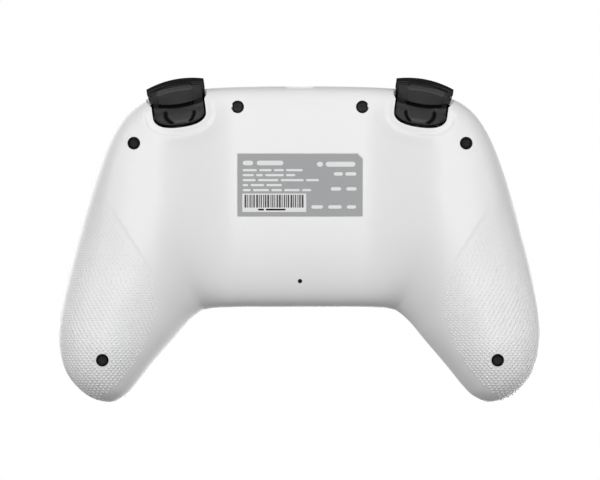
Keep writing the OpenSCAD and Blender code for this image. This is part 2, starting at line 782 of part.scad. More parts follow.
// Yoke: frame that tips about X in the housing's walls
yoke_x = 3.6;
housing_t = 1;
module stick_yoke(side) {
    reach = housing_half - 0.1;
    color("gray") at_stick(side) difference() {
        union() {
            difference() {
                translate([-yoke_x - yoke_t, -yoke_in - yoke_t, -yoke_h])
                    cube([2 * (yoke_x + yoke_t), 2 * (yoke_in + yoke_t), 2 * yoke_h]);
                translate([-yoke_x, -yoke_in, -far / 2]) cube([2 * yoke_x, 2 * yoke_in, far]);
            }
            for (x = [-1, 1])
                rotate([0, x * 90, 0]) translate([0, 0, yoke_x + yoke_t / 2])
                    cylinder(r = yoke_pin_r, h = reach - yoke_x - yoke_t / 2);
        }
        rotate([90, 0, 0]) translate([0, 0, -far / 2]) cylinder(r = hub_pin_r + run_play, h = far);
    }
}

// Arm: slotted stirrup under the yoke that the shaft's tip carries along about Y
arm_in = 4.5;
arm_t = 0.8;
arm_half = 1.7;
arm_deep = 4.8;
slot_half = 2.9;
module stick_arm(side) {
    out = arm_in + arm_t;
    reach = housing_half - 0.1;
    color("gray") at_stick(side) difference() {
        union() {
            for (y = [-1, 1]) {
                translate([-arm_half, y * (arm_in + arm_t / 2) - arm_t / 2, -arm_deep - arm_t])
                    cube([2 * arm_half, arm_t, arm_deep + arm_t + 1.2]);
                rotate([-y * 90, 0, 0]) translate([0, 0, arm_in + arm_t / 2])
                    cylinder(r = yoke_pin_r, h = reach - arm_in - arm_t / 2);
            }
            translate([-arm_half, -out, -arm_deep - arm_t]) cube([2 * arm_half, 2 * out, arm_t]);
        }
        translate([-lever_tip_r - 0.2, -slot_half, -far / 2])
            cube([2 * lever_tip_r + 0.4, 2 * slot_half, far / 2]);
    }
}

module stick_housing(side) {
    top = 2;
    inside = housing_half - housing_t;
    color("silver") at_stick(side) difference() {
        translate([-housing_half, -housing_half, -stick_up])
            cube([2 * housing_half, 2 * housing_half, stick_up + top]);
        translate([-inside, -inside, -far / 2]) cube([2 * inside, 2 * inside, far]);
        for (t = [0, 90])
            rotate([0, 0, t]) rotate([0, 90, 0]) translate([0, 0, -far / 2])
                cylinder(r = yoke_pin_r + run_play, h = far);
    }
}

// Direction pad: a cross on a round flange, rocking on a ball
dpad_tilt_room = 0.8;
dpad_z = board_top + 7.4;
dpad_flange_r = 11.4;
dpad_flange_low = inner_face - 4;
module dpad_plan(grow) {
    for (t = [0, 90]) rotate(t) square([dpad_span + 2 * grow, dpad_arm + 2 * grow], center = true);
}

module direction_pad() {
    top = face_z + dpad_up;
    color("dimgray") translate([dpad_place.x, dpad_place.y, 0]) difference() {
        union() {
            translate([0, 0, dpad_flange_low]) linear_extrude(top - dpad_flange_low) dpad_plan(0);
            translate([0, 0, dpad_flange_low]) cylinder(r = dpad_flange_r, h = 1.2);
            translate([0, 0, dpad_z + 0.7]) cylinder(r = 4, h = dpad_flange_low - dpad_z);
        }
        translate([0, 0, dpad_z]) sphere(dpad_ball_r + run_play);
        for (t = [0:90:270])
            rotate(t) translate([dpad_span / 2 - 3.4, 0, top - 0.5]) cylinder(r = 1.1, h = 1);
    }
}

module direction_ball() {
    color("silver") translate([dpad_place.x, dpad_place.y, dpad_z]) sphere(dpad_ball_r);
}

module direction_post() {
    color("gray") translate([dpad_place.x, dpad_place.y, 0]) difference() {
        translate([0, 0, board_top]) cylinder(r = 3, h = dpad_z - 0.5 - board_top);
        translate([0, 0, dpad_z]) sphere(dpad_ball_r + run_play);
    }
}

// Rubber sheet on the board with a dome under each place
sheet_t = 0.8;
module membrane(places, sheet, dome_r_low, dome_r_high, top) {
    color("lightgray") union() {
        translate([0, 0, board_top]) linear_extrude(sheet_t) sheet_plan(places, sheet);
        for (p = places)
            translate([p.x, p.y, board_top])
                cylinder(r1 = dome_r_low, r2 = dome_r_high, h = top - board_top);
    }
}

module sheet_plan(places, r) {
    for (p = places) translate(p) circle(r);
    for (k = [0:len(places) - 1]) bar(places[k], places[(k + 1) % len(places)], r / 2);
}

module bar(a, b, w) {
    d = b - a;
    translate(a) rotate(atan2(d.y, d.x)) translate([0, -w / 2]) square([norm(d), w]);
}

dpad_dome_off = 8;
function dpad_domes() = [for (d = face_dirs) dpad_place + dpad_dome_off * d];
module direction_membrane() {
    membrane(dpad_domes(), 3.4, 3, 2.2, dpad_flange_low - 0.2);
}

function face_places() = [for (d = face_dirs) face_place + face_button_off * d];
button_flange_top = inner_face - 1.5;
button_low = button_flange_top - flange_t;
module face_membrane() {
    membrane(face_places(), 5, 4, 3, button_low - 0.2);
}

module face_button(k) {
    p = face_places()[k];
    top = face_z + face_button_up;
    color("dimgray") translate([p.x, p.y, 0]) union() {
        translate([0, 0, button_low]) cylinder(r = face_button_r + flange_w, h = flange_t);
        translate([0, 0, button_low]) cylinder(r = face_button_r, h = top - 0.5 - button_low);
        translate([0, 0, top - 0.5]) cylinder(r1 = face_button_r, r2 = face_button_r - 0.7, h = 0.5);
    }
}

// Menu buttons: two pills above, one small square and one round button below
module menu_plan(k, grow) {
    if (k < 2) stadium(menu_len + 2 * grow, menu_wide + 2 * grow);
    else if (k == 2) square(2 * (home_r - 0.6 + grow), center = true);
    else circle(home_r + grow);
}

module menu_button(k) {
    p = menu_places[k];
    color("dimgray") translate([p.x, p.y, 0]) union() {
        translate([0, 0, button_low]) linear_extrude(flange_t) menu_plan(k, flange_w);
        translate([0, 0, button_low]) linear_extrude(face_z + menu_up - button_low) menu_plan(k, 0);
    }
}

module menu_membrane() {
    order = [menu_places[0], menu_places[1], menu_places[3], menu_places[2]];
    membrane(order, 2.6, 2, 1.6, button_low - 0.2);
}

// Height of the front face on the centre line
function middle_face(y) =
    let (
        o = outer_edge(0, 0).y,
        i = inner_edge(0, 0).y,
        c = (o - y) / (o - i),
        w = 1 - 2 * c,
        n = (w < 0 ? square_front : square_outer)[0],
        base = mix(part_height(o), part_height(i), c) + part_gap
    )
    mix(base, front_height(y), pow(1 - pow(abs(w), n), 1 / n));

// Strip behind the front wall with one light window per player number
lens_play = 0.1;
module indicator_lens() {
    long = lens_count * lens_pitch - 1.5;
    top = middle_face(lens_y) - 0.2;
    low = top - wall - 3;
    color("lightcyan") union() {
        translate([-long / 2, lens_y - 1.5, low]) cube([long, 3, 1]);
        for (k = [0:lens_count - 1])
            translate([lens_x(k) - lens_w / 2 + lens_play, lens_y - lens_h / 2 + lens_play, low])
                cube([lens_w - 2 * lens_play, lens_h - 2 * lens_play, top - low]);
        for (x = [-1, 1])
            translate([x * (long / 2 - 1) - 1, lens_y - 1, board_top]) cube([2, 2, low - board_top + 0.5]);
    }
}

board_low_y = -16.5 * tall;
board_high_y = 26.5 * tall;
board_post_rim = 3.5;
tab_half_w = 11;
module main_board() {
    color("darkgreen") translate([0, 0, board_low]) difference() {
        linear_extrude(board_t) union() {
            translate([-board_half_w * wide, board_low_y])
                square([2 * board_half_w * wide, board_high_y - board_low_y]);
            for (s = [-1, 1])
                hull() {
                    translate([s * board_screw_places[0].x, board_screw_places[0].y]) circle(board_post_rim);
                    translate([s * board_screw_places[0].x, board_low_y + board_post_rim])
                        circle(board_post_rim);
                }
            translate([-tab_half_w, 0]) square([2 * tab_half_w, top_y - wall - 1.4]);
        }
        for (s = [-1, 1], p = board_screw_places)
            translate([s * p.x, p.y, -1]) cylinder(r = board_screw_r + fit, h = board_t + 2);
    }
}

// Chips and connector under the board
board_part_boxes = [
    [-33, 12, 12, 12, 1.4], [30, 14, 9, 9, 1.2], [36, -6, 7, 5, 2.4], [-36, -8, 10, 4, 1.6]
];
module board_parts() {
    color("black") for (b = board_part_boxes)
        translate([b[0] - b[2] / 2, b[1] - b[3] / 2, board_low - b[4]]) cube([b[2], b[3], b[4]]);
}

module board_screws() {
    color("silver") for (s = [-1, 1], p = board_screw_places)
        translate([s * p.x, p.y, board_low]) difference() {
            union() {
                translate([0, 0, -1]) cylinder(r = 1.7, h = 1);
                cylinder(r = board_screw_r, h = board_screw_len);
            }
            translate([0, 0, -1.5]) cross_recess(1.7, 1);
        }
}

module battery_pack() {
    color("silver") translate([-battery_w / 2, battery_y - battery_h / 2, battery_z])
        cube([battery_w, battery_h, battery_t]);
}

// Charging socket on the board's tab, with its mouth just inside the top edge
usb_deep = 7.4;
usb_t = 0.3;
usb_mouth_y = top_y - 0.9;
tongue_w = 6.6;
tongue_t = 0.7;
module usb_port() {
    color("silver") translate([0, usb_mouth_y, usb_z]) rotate([90, 0, 0]) union() {
        linear_extrude(usb_deep) difference() {
            stadium(usb_w, usb_h);
            stadium(usb_w - 2 * usb_t, usb_h - 2 * usb_t);
        }
        translate([0, 0, usb_deep - 1]) linear_extrude(1) stadium(usb_w, usb_h);
        translate([-tongue_w / 2, -tongue_t / 2, 1.4]) cube([tongue_w, tongue_t, usb_deep - 1.6]);
    }
}

reset_travel = 0.3;
module reset_switch() {
    color("black") translate([0, reset_y, board_low]) difference() {
        translate([-2, -1.8, -2]) cube([4, 3.6, 2]);
        translate([0, 0, -3]) cylinder(r = 0.9 + run_play, h = 2.4);
    }
}

module reset_plunger() {
    color("white") translate([0, reset_y, board_low - 2.8])
        cylinder(r = 0.9, h = 2.8 - 0.6 - reset_travel);
}

weight_len = 5.5;
weight_gap = 1;
shaft_deep = 8;
module rumble_motor(side) {
    color("silver") motor_axis(side, -motor_len / 2) difference() {
        union() {
            cylinder(r = motor_r, h = motor_len);
            cylinder(r = 2.4, h = motor_len + 0.5);
        }
        translate([0, 0, motor_len - shaft_deep]) cylinder(r = shaft_r + run_play, h = shaft_deep + 2);
    }
}

module rumble_weight(side) {
    color("dimgray") motor_axis(side, motor_len / 2) union() {
        translate([0, 0, weight_gap]) intersection() {
            cylinder(r = weight_r, h = weight_len);
            translate([-0.5, -weight_r, 0]) cube([weight_r + 0.5, 2 * weight_r, weight_len]);
        }
        translate([0, 0, weight_gap]) cylinder(r = 2.2, h = weight_len);
        translate([0, 0, 0.2 - shaft_deep]) cylinder(r = shaft_r, h = shaft_deep + weight_gap);
    }
}

rear_shell();
front_shell();
rear_label();
case_screws();
trigger(-1);  // trigger_left
trigger(1);  // trigger_right
trigger_bracket(-1);  // trigger_bracket_left
trigger_bracket(1);  // trigger_bracket_right
trigger_pin(-1);  // trigger_pin_left
trigger_pin(1);  // trigger_pin_right
trigger_spring(-1);  // trigger_spring_left
trigger_spring(1);  // trigger_spring_right
bumper(-1);  // bumper_left
bumper(1);  // bumper_right
bumper_pin(-1);  // bumper_pin_left
bumper_pin(1);  // bumper_pin_right
bumper_switch(-1);  // bumper_switch_left
bumper_switch(1);  // bumper_switch_right
stick_cap(-1);  // stick_cap_left
stick_cap(1);  // stick_cap_right
stick_lever(-1);  // stick_lever_left
stick_lever(1);  // stick_lever_right
stick_hub(-1);  // stick_hub_left
stick_hub(1);  // stick_hub_right
stick_yoke(-1);  // stick_yoke_left
stick_yoke(1);  // stick_yoke_right
stick_arm(-1);  // stick_arm_left
stick_arm(1);  // stick_arm_right
stick_housing(-1);  // stick_housing_left
stick_housing(1);  // stick_housing_right
direction_pad();
direction_ball();
direction_post();
direction_membrane();
face_button(0);  // face_button_north
face_button(1);  // face_button_east
face_button(2);  // face_button_south
face_button(3);  // face_button_west
face_membrane();
menu_button(0);  // select_button
menu_button(1);  // start_button
menu_button(2);  // capture_button
menu_button(3);  // home_button
menu_membrane();
indicator_lens();
main_board();
board_parts();
board_screws();
battery_pack();
usb_port();
reset_switch();
reset_plunger();
rumble_motor(-1);  // rumble_motor_left
rumble_motor(1);  // rumble_motor_right
rumble_weight(-1);  // rumble_weight_left
rumble_weight(1);  // rumble_weight_right
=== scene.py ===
import math

import bmesh
import bpy
import numpy as np
from mathutils import Matrix, Vector


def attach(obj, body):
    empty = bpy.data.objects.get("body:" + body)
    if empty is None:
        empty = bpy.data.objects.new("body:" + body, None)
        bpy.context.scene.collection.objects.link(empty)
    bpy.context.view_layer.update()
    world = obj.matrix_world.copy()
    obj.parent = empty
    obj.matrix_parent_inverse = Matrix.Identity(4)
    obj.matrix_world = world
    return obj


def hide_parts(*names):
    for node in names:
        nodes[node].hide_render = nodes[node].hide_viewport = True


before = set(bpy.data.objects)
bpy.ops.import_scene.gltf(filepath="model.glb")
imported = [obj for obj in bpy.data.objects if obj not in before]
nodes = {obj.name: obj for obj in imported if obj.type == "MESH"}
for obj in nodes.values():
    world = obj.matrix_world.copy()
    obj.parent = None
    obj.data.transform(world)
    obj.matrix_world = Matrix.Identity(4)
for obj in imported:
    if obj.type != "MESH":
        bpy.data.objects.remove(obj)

scene = bpy.context.scene
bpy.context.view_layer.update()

# Rear shell
# The half of moulded white plastic that the hands wrap round: a flat panel between two grip ridges, notches
# for the triggers, screw wells, a label recess and a reset pinhole. Its skin follows the solid's curve.
MM = 0.001
TOP_Y = 49.4
PART_GAP = 0.2
FACE_Z = 38
PANEL_Z = 8
PANEL_HALF = 20
VALLEY_WIDE = 27
PART_Z = 24
GRIP_LOW = -50.7
WALL = 2
SIDES = {"left": -1, "right": 1}
OUTER = np.array([
    (-14, 49.3), (0, 49.4), (14, 49.3), (28, 48.8), (42, 47.2), (52.5, 43.4), (59.8, 35), (66, 20),
    (71.6, 0.6), (75.4, -14.8), (77.46, -30), (75.4, -41.7), (69, -49.4), (61.6, -52), (56, -50.2)])
INNER = np.array([
    (-10, -21.5), (0, -21.5), (10, -21.5), (18, -21.5), (23, -21.6), (27, -21.8), (29.5, -22.2),
    (31.5, -23), (35.3, -26.3), (40.1, -32.1), (46.5, -39.6), (52, -46.4), (56, -50.2), (61.6, -52),
    (69, -49.4)])
LAST = 12


def curve_between(a, b, c, d, t):
    """Place at the share t of a smooth curve from b to c that comes from a and goes on to d."""
    bend = (2 * a - 5 * b + 4 * c - d) * t ** 2
    return 0.5 * (2 * b + (c - a) * t + bend + (3 * b - a - 3 * c + d) * t ** 3)


def outline(knots, u):
    i = np.minimum(np.floor(u).astype(int), LAST - 1)
    return curve_between(*(knots[i + k] for k in range(4)), (u - i)[..., None])


def outline_edge(knots, turn, u, grow):
    t = outline(knots, np.minimum(u + 0.05, LAST)) - outline(knots, np.maximum(u - 0.05, 0))
    across = np.stack([-t[..., 1], t[..., 0]], -1) / np.linalg.norm(t, axis=-1, keepdims=True)
    return outline(knots, u) + grow * turn * across


def smooth(t):
    t = np.clip(t, 0, 1)
    return t * t * (3 - 2 * t)


def fall(y, start, drop):
    """Drop of a height line from a start down to the grip ends."""
    return drop * np.maximum(0, (start - y) / (start - GRIP_LOW)) ** 1.5


def part_height(y):
    return PART_Z - fall(y, 6, 9)


def rear_height(x):
    return PANEL_Z * (1 - smooth((np.abs(x) - PANEL_HALF) / VALLEY_WIDE))


def squareness(u, mid, grip=2.3):
    return mid + (grip - mid) * smooth((u - 2.5) / 5)


def skin(u, a, side, grow=0.0):
    """Points of the shell's skin in millimetres: u along the outline, a round the section in degrees."""
    m = np.abs(u)
    turn = np.radians(a)
    n = squareness(m, 4.5)
    n = np.where(a > 90, squareness(m, 7) if side > 0 else squareness(m, 3, 1.9), n)
    o = outline_edge(OUTER, 1, m, grow)
    i = outline_edge(INNER, -1, m, grow)
    w = np.sign(np.cos(turn)) * np.abs(np.cos(turn)) ** (2 / n)
    mid = (outline(OUTER, m) + outline(INNER, m)) / 2
    d = np.minimum(1, np.linalg.norm(mid - OUTER[LAST + 1], axis=-1) / 20)
    rise = np.abs(np.sin(turn)) ** (2 / n) * np.sqrt(1 - (1 - d) ** 2)
    crest = 0.72 + 0.18 * smooth((m - 5) / 3)
    c = np.maximum(0, (1 - w) / 2) ** (1 if side > 0 else 1 / crest)
    p = o + (i - o) * c[..., None]
    base = part_height(o[..., 1]) * (1 - c) + part_height(i[..., 1]) * c
    if side > 0:
        base = base + PART_GAP
        goal = FACE_Z - fall(p[..., 1], -14, 13) + grow
    else:
        goal = rear_height(p[..., 0]) - grow
    return np.stack([np.sign(u) * p[..., 0], p[..., 1], base + (goal - base) * rise], -1)


def spread(*stretches):
    """Places along a line: each stretch gives its start, end and number of steps."""
    out = []
    for start, end, count in stretches:
        out += [start + (end - start) * k / count for k in range(count)]
    return out + [stretches[-1][1]]


def skin_sheet(us, angles):
    """Flat grid whose corners remember their place on the skin."""
    bm = bmesh.new()
    bmesh.ops.create_grid(bm, x_segments=len(us) - 1, y_segments=len(angles) - 1, size=1)
    along = bm.verts.layers.float.new("along")
    around = bm.verts.layers.float.new("around")
    for v in bm.verts:
        v[along] = us[round((v.co.x + 1) / 2 * (len(us) - 1))]
        v[around] = angles[round((v.co.y + 1) / 2 * (len(angles) - 1))]
    return bm


def skin_places(bm):
    along = bm.verts.layers.float["along"]
    around = bm.verts.layers.float["around"]
    return np.array([v[along] for v in bm.verts]), np.array([v[around] for v in bm.verts])


def lay_on_skin(bm, shape):
    points = shape(*skin_places(bm)) * MM
    for v, p in zip(bm.verts, points):
        v.co = p


def refine(bm, shape, near):
    """Halves the edges whose middles lie where near() says so."""
    lay_on_skin(bm, shape)
    bm.edges.ensure_lookup_table()
    mids = np.array([(e.verts[0].co + e.verts[1].co) / 2 for e in bm.edges]) / MM
    keep = near(mids)
    halved = [e for e, k in zip(bm.edges, keep) if k]
    bmesh.ops.subdivide_edges(bm, edges=halved, cuts=1, use_grid_fill=True)


def close_body(bm):
    """Joins the two long edges of a skin sheet along the parting line and its ends at the grip tips."""
    around = bm.verts.layers.float["around"]
    rows = [e for e in bm.edges if e.is_boundary and abs(e.verts[0][around] - e.verts[1][around]) < 1e-4]
    bmesh.ops.bridge_loops(bm, edges=rows)
    bmesh.ops.remove_doubles(bm, verts=bm.verts, dist=1e-6)
    bmesh.ops.recalc_face_normals(bm, faces=bm.faces)


def piece(bm, name, material, body="root", smooth_angle=40):
    """Turns a finished bmesh into an object that rides on a body."""
    mesh = bpy.data.meshes.new(name)
    bm.to_mesh(mesh)
    bm.free()
    return dressed(mesh, name, material, body, smooth_angle)


def dressed(mesh, name, material, body="root", smooth_angle=40):
    """Object of a finished mesh; a mesh that brings its own materials keeps them."""
    obj = bpy.data.objects.new(name, mesh)
    scene.collection.objects.link(obj)
    if not any(mesh.materials):
        mesh.materials.clear()
        mesh.materials.append(material)
    mesh.shade_smooth()
    mesh.set_sharp_from_angle(angle=math.radians(smooth_angle))
    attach(obj, body)
    return obj


def cut(bm, *tools, materials=()):
    """Subtracts closed bmeshes from a closed bmesh and gives the new mesh."""
    objs = []
    for k, shape in enumerate((bm,) + tools):
        mesh = bpy.data.meshes.new("cut_%d" % k)
        shape.to_mesh(mesh)
        shape.free()
        objs.append(bpy.data.objects.new("cut_%d" % k, mesh))
        scene.collection.objects.link(objs[-1])
    for mat in materials:
        objs[0].data.materials.append(mat)
    for tool in objs[1:]:
        mod = objs[0].modifiers.new("cut", "BOOLEAN")
        mod.operation = "DIFFERENCE"
        mod.solver = "MANIFOLD"
        mod.object = tool
    view = bpy.context.evaluated_depsgraph_get()
    view.update()
    mesh = bpy.data.meshes.new_from_object(objs[0].evaluated_get(view))
    for o in objs:
        old = o.data
        bpy.data.objects.remove(o)
        bpy.data.meshes.remove(old)
    return mesh


# Trigger places: about its pin, a trigger has x across, y to the top edge and z to the front
TRIGGER_AT = (38.6, TOP_Y - 9.3, 29)
SPLAY = math.radians(8)
NOTCH_HALF = 8.6
MOUTH_Y = 30
BOWL_Y = 0.5
BOWL_DEEP = 4.55
BOWL_STEPS = 44


def trigger_frame(side):
    turn = Matrix.Translation(Vector(TRIGGER_AT) * MM) @ Matrix.Rotation(-SPLAY, 4, "Z")
    return Matrix.Diagonal((side, 1, 1, 1)) @ turn


def to_trigger(p):
    """Plan places of the right-hand trigger's own frame, for points of either side."""
    x = np.abs(p[..., 0]) - TRIGGER_AT[0]
    y = p[..., 1] - TRIGGER_AT[1]
    c, s = math.cos(SPLAY), math.sin(SPLAY)
    return np.stack([x * c - y * s, x * s + y * c], -1)


def fuller(v):
    """Sine or cosine pushed outwards, for a bowl with full corners."""
    return math.copysign(abs(v) ** 0.8, v)


def notch_points():
    """Outline of the trigger notch, from the left of its mouth round the bottom to the right."""
    turns = [math.radians(180 + 180 * k / BOWL_STEPS) for k in range(BOWL_STEPS + 1)]
    bowl = [(NOTCH_HALF * fuller(math.cos(t)), BOWL_Y + BOWL_DEEP * fuller(math.sin(t))) for t in turns]
    return [(-NOTCH_HALF, MOUTH_Y)] + bowl + [(NOTCH_HALF, MOUTH_Y)]


NOTCH = np.array(notch_points())
FAR_OFF = 99.0


def outside(points, loop):
    """Distance of plan points outside a closed outline; negative inside."""
    a = loop
    b = np.roll(loop, -1, axis=0)
    ab = b - a
    rel = points[:, None, :] - a[None]
    t = np.clip((rel * ab).sum(-1) / (ab * ab).sum(-1), 0, 1)
    d = np.linalg.norm(rel - t[..., None] * ab, axis=-1).min(1)
    px, py = points[:, None, 0], points[:, None, 1]
    tall = np.where(ab[:, 1] == 0, 1e-9, ab[:, 1])
    level = (a[:, 1] > py) != (b[:, 1] > py)
    crossing = level & (px < ab[:, 0] * (py - a[:, 1]) / tall + a[:, 0])
    return np.where(crossing.sum(1) % 2 == 1, -d, d)


def notch_distance(p):
    """Distance from the trigger notch in plan, FAR_OFF where that doesn't matter."""
    q = to_trigger(p)
    out = np.full(len(p), FAR_OFF)
    close = (np.abs(q[:, 0]) < 18) & (q[:, 1] > -12) & (q[:, 1] < 14)
    out[close] = outside(q[close], NOTCH)
    return out


# Grip texture zone: outer side of a line across each grip, then down its inner flank
GRIP_EDGE = np.array([
    (90, 54.6), (65.8, 18.4), (56.8, 4.3), (51.4, -3.9), (46.7, -11.5), (45.2, -16.4), (45.6, -25),
    (48.4, -33), (52, -39.5), (57, -45.8), (62, -50), (66, -60), (90, -60)])
SCOOP_WIDE = 1.7
SCOOP_DEEP = 0.5
RIDGE_HIGH = 0.22
FIELD_STEP = 0.2
FIELD_TILT = 0.4


def grip_distance(p):
    """Distance from the edge of the textured grip zone, negative inside it."""
    q = np.stack([np.abs(p[:, 0]), p[:, 1]], -1)
    return outside(q, GRIP_EDGE)


def rear_skin(u, a):
    """Rear skin with a scoop and a ridge round the trigger notches and a lowered field on the grips."""
    p = skin(u, a, -1)
    d = notch_distance(p)
    low = smooth((4 - to_trigger(p)[:, 1]) / 5)
    past = smooth((d - SCOOP_WIDE) / 1.3)
    scoop = SCOOP_DEEP * (1 - past) * (0.3 + 0.7 * low) + 0.25 * np.clip(1 - d / 0.6, 0, 1) ** 2
    ridge = RIDGE_HIGH * past * (1 - smooth((d - 3) / 4)) * low * smooth(p[:, 2] / 0.8)
    flat = smooth((a - 25) / 30) * smooth((165 - a) / 25)
    into = -grip_distance(p)
    lower = smooth((-8 - p[:, 1]) / 12)
    field = FIELD_STEP * smooth(0.5 + into / (0.4 + 4 * lower))
    field = field + FIELD_TILT * smooth(into / 9) * (1 - lower)
    field = field * flat * smooth((16 - p[:, 1]) / 10) * smooth((LAST - np.abs(u)) / 0.5)
    p[:, 2] += (scoop - ridge) * smooth((a - 20) / 30) + field
    return p


def drum(x, y, z0, z1, r, count=40):
    """Upright closed cylinder for cutting, in millimetres."""
    bm = bmesh.new()
    place = Matrix.Translation(Vector((x, y, (z0 + z1) / 2)) * MM)
    bmesh.ops.create_cone(bm, cap_ends=True, segments=count, radius1=r * MM, radius2=r * MM,
                          depth=(z1 - z0) * MM, matrix=place)
    return bm


def prism(points, z0, z1, place=None):
    """Upright closed prism over a plan outline, in millimetres."""
    bm = bmesh.new()
    face = bm.faces.new([bm.verts.new((x * MM, y * MM, z0 * MM)) for x, y in points])
    top = bmesh.ops.extrude_face_region(bm, geom=[face])["geom"]
    lifted = [v for v in top if isinstance(v, bmesh.types.BMVert)]
    bmesh.ops.translate(bm, verts=lifted, vec=(0, 0, (z1 - z0) * MM))
    if place is not None:
        bmesh.ops.transform(bm, matrix=place, verts=bm.verts)
    bmesh.ops.recalc_face_normals(bm, faces=bm.faces)
    return bm


def gather(*parts):
    """Several bmeshes as one."""
    whole = bmesh.new()
    for bm in parts:
        mesh = bpy.data.meshes.new("gathered")
        bm.to_mesh(mesh)
        bm.free()
        whole.from_mesh(mesh)
        bpy.data.meshes.remove(mesh)
    return whole


def stadium(length, wide, x=0.0, y=0.0, count=12):
    """Outline with straight sides and round ends, along x."""
    half = (length - wide) / 2
    out = []
    for end, start in ((half, -90), (-half, 90)):
        for k in range(count + 1):
            t = math.radians(start + 180 * k / count)
            out.append((x + end + wide / 2 * math.cos(t), y + wide / 2 * math.sin(t)))
    return out


def add_node(tree, kind, **values):
    """New shader node with some of its inputs set; an underscore in a name stands for a space."""
    node = tree.nodes.new("ShaderNode" + kind)
    for name, value in values.items():
        node.inputs[name.replace("_", " ")].default_value = value
    return node


def two_tints(tree, first, second):
    """Colour that a pattern mixes from two."""
    tint = add_node(tree, "Mix")
    tint.data_type = "RGBA"
    tint.inputs["A"].default_value = (*first, 1)
    tint.inputs["B"].default_value = (*second, 1)
    return tint


CLOUD_TINT = 0.015
CLOUD_GLOSS = 0.04
GRAIN_DEEP = 0.0002


def moulded(name, colour, rough, grain=0.04, speck=900, shine=0.5):
    """Moulded plastic: an even colour with a faint cloud, spark-eroded grain and slight changes of gloss."""
    mat = bpy.data.materials.new(name)
    mat.use_nodes = True
    tree = mat.node_tree
    shader = tree.nodes["Principled BSDF"]
    coords = add_node(tree, "TexCoord")
    cloud = add_node(tree, "TexNoise", Scale=60, Detail=4)
    darker = [c * (1 - CLOUD_TINT) for c in colour]
    tint = two_tints(tree, darker, [min(1, c * (1 + CLOUD_TINT)) for c in colour])
    fine = add_node(tree, "TexNoise", Scale=speck, Detail=3)
    gloss = add_node(tree, "MapRange", To_Min=rough - CLOUD_GLOSS, To_Max=rough + CLOUD_GLOSS)
    bump = add_node(tree, "Bump", Strength=grain, Distance=GRAIN_DEEP)
    link = tree.links.new
    link(coords.outputs["Object"], cloud.inputs["Vector"])
    link(coords.outputs["Object"], fine.inputs["Vector"])
    link(cloud.outputs["Fac"], tint.inputs["Factor"])
    link(tint.outputs["Result"], shader.inputs["Base Color"])
    link(cloud.outputs["Fac"], gloss.inputs["Value"])
    link(gloss.outputs["Result"], shader.inputs["Roughness"])
    link(fine.outputs["Fac"], bump.inputs["Height"])
    link(bump.outputs["Normal"], shader.inputs["Normal"])
    shader.inputs["Specular IOR Level"].default_value = shine
    return mat


white_plastic = moulded("white_plastic", (0.80, 0.80, 0.805), 0.42, shine=0.42)
SCREW_PLACES = [(20, 42.7, 12.5), (53.2, 31, 8), (63.3, -38.5, 8)]
WELL_R = 2.05
LABEL_Y = 17.6
LABEL_SINK = 0.35
RESET_Y = -13.2
RESET_R = 0.7
USB_Z = 25.2
OUTSIDE_Z = -2

rear_us = spread((-12, -11, 12), (-11, -5, 70), (-5, -2, 66), (-2, 2, 52),
                 (2, 5, 66), (5, 11, 70), (11, 12, 12))
rear_angles = spread((0, 30, 10), (30, 62, 16), (62, 95, 36), (95, 130, 30), (130, 180, 24))
rear = skin_sheet(rear_us, rear_angles)
refine(rear, rear_skin, lambda p: (np.abs(notch_distance(p) - SCOOP_WIDE) < 2.4) & (p[:, 2] < 22))
refine(rear, rear_skin, lambda p: (np.abs(grip_distance(p)) < 0.8) & (p[:, 2] < 14))
lay_on_skin(rear, rear_skin)
close_body(rear)

ROOM_END = 11.9
inner_us = spread((-ROOM_END, -5, 24), (-5, 5, 41), (5, ROOM_END, 24))
inner_angles = spread((0, 180, 22))


def hollow(side):
    """Room inside a shell, carried past the parting line."""
    bm = skin_sheet([-12.5] + inner_us + [12.5], [-1] + inner_angles + [181])

    def room(u, a):
        held = np.clip(u, -ROOM_END, ROOM_END)
        p = skin(held, np.clip(a, 0, 180), side, -WALL)
        p[:, 2] -= side * 1.5 * ((a < 0) | (a > 180))
        mid = skin(held, np.full_like(a, 90), side, -WALL)
        mid[:, 2] = skin(held, np.zeros_like(a), side, -WALL)[:, 2]
        return np.where((np.abs(u) > LAST)[:, None], mid, p)

    lay_on_skin(bm, room)
    close_body(bm)
    return bm


def notch_cutter(side, z0, z1):
    return prism(NOTCH, z0 - TRIGGER_AT[2], z1 - TRIGGER_AT[2], trigger_frame(side))


def lip_pocket(side):
    """Room beside a notch's mouth for the ends of the trigger's lip."""
    ends = [[(-8, 4.1), (-NOTCH_HALF, 4.1), (-9.55, 5.6), (-9.55, MOUTH_Y), (-8, MOUTH_Y)],
            [(8, 3.6), (NOTCH_HALF, 3.6), (10.05, 5.6), (10.05, MOUTH_Y), (8, MOUTH_Y)]]
    low, high = -3 - TRIGGER_AT[2], 15 - TRIGGER_AT[2]
    return gather(*[prism(e, low, high, trigger_frame(side)) for e in ends])


def usb_mouth():
    """Mouth of the charging socket through both shells."""
    bm = prism(stadium(9.6, 3.9), 0, 12)
    turn = Matrix.Translation(Vector((0, 52.4, USB_Z)) * MM) @ Matrix.Rotation(math.radians(90), 4, "X")
    bmesh.ops.transform(bm, matrix=turn, verts=bm.verts)
    return bm


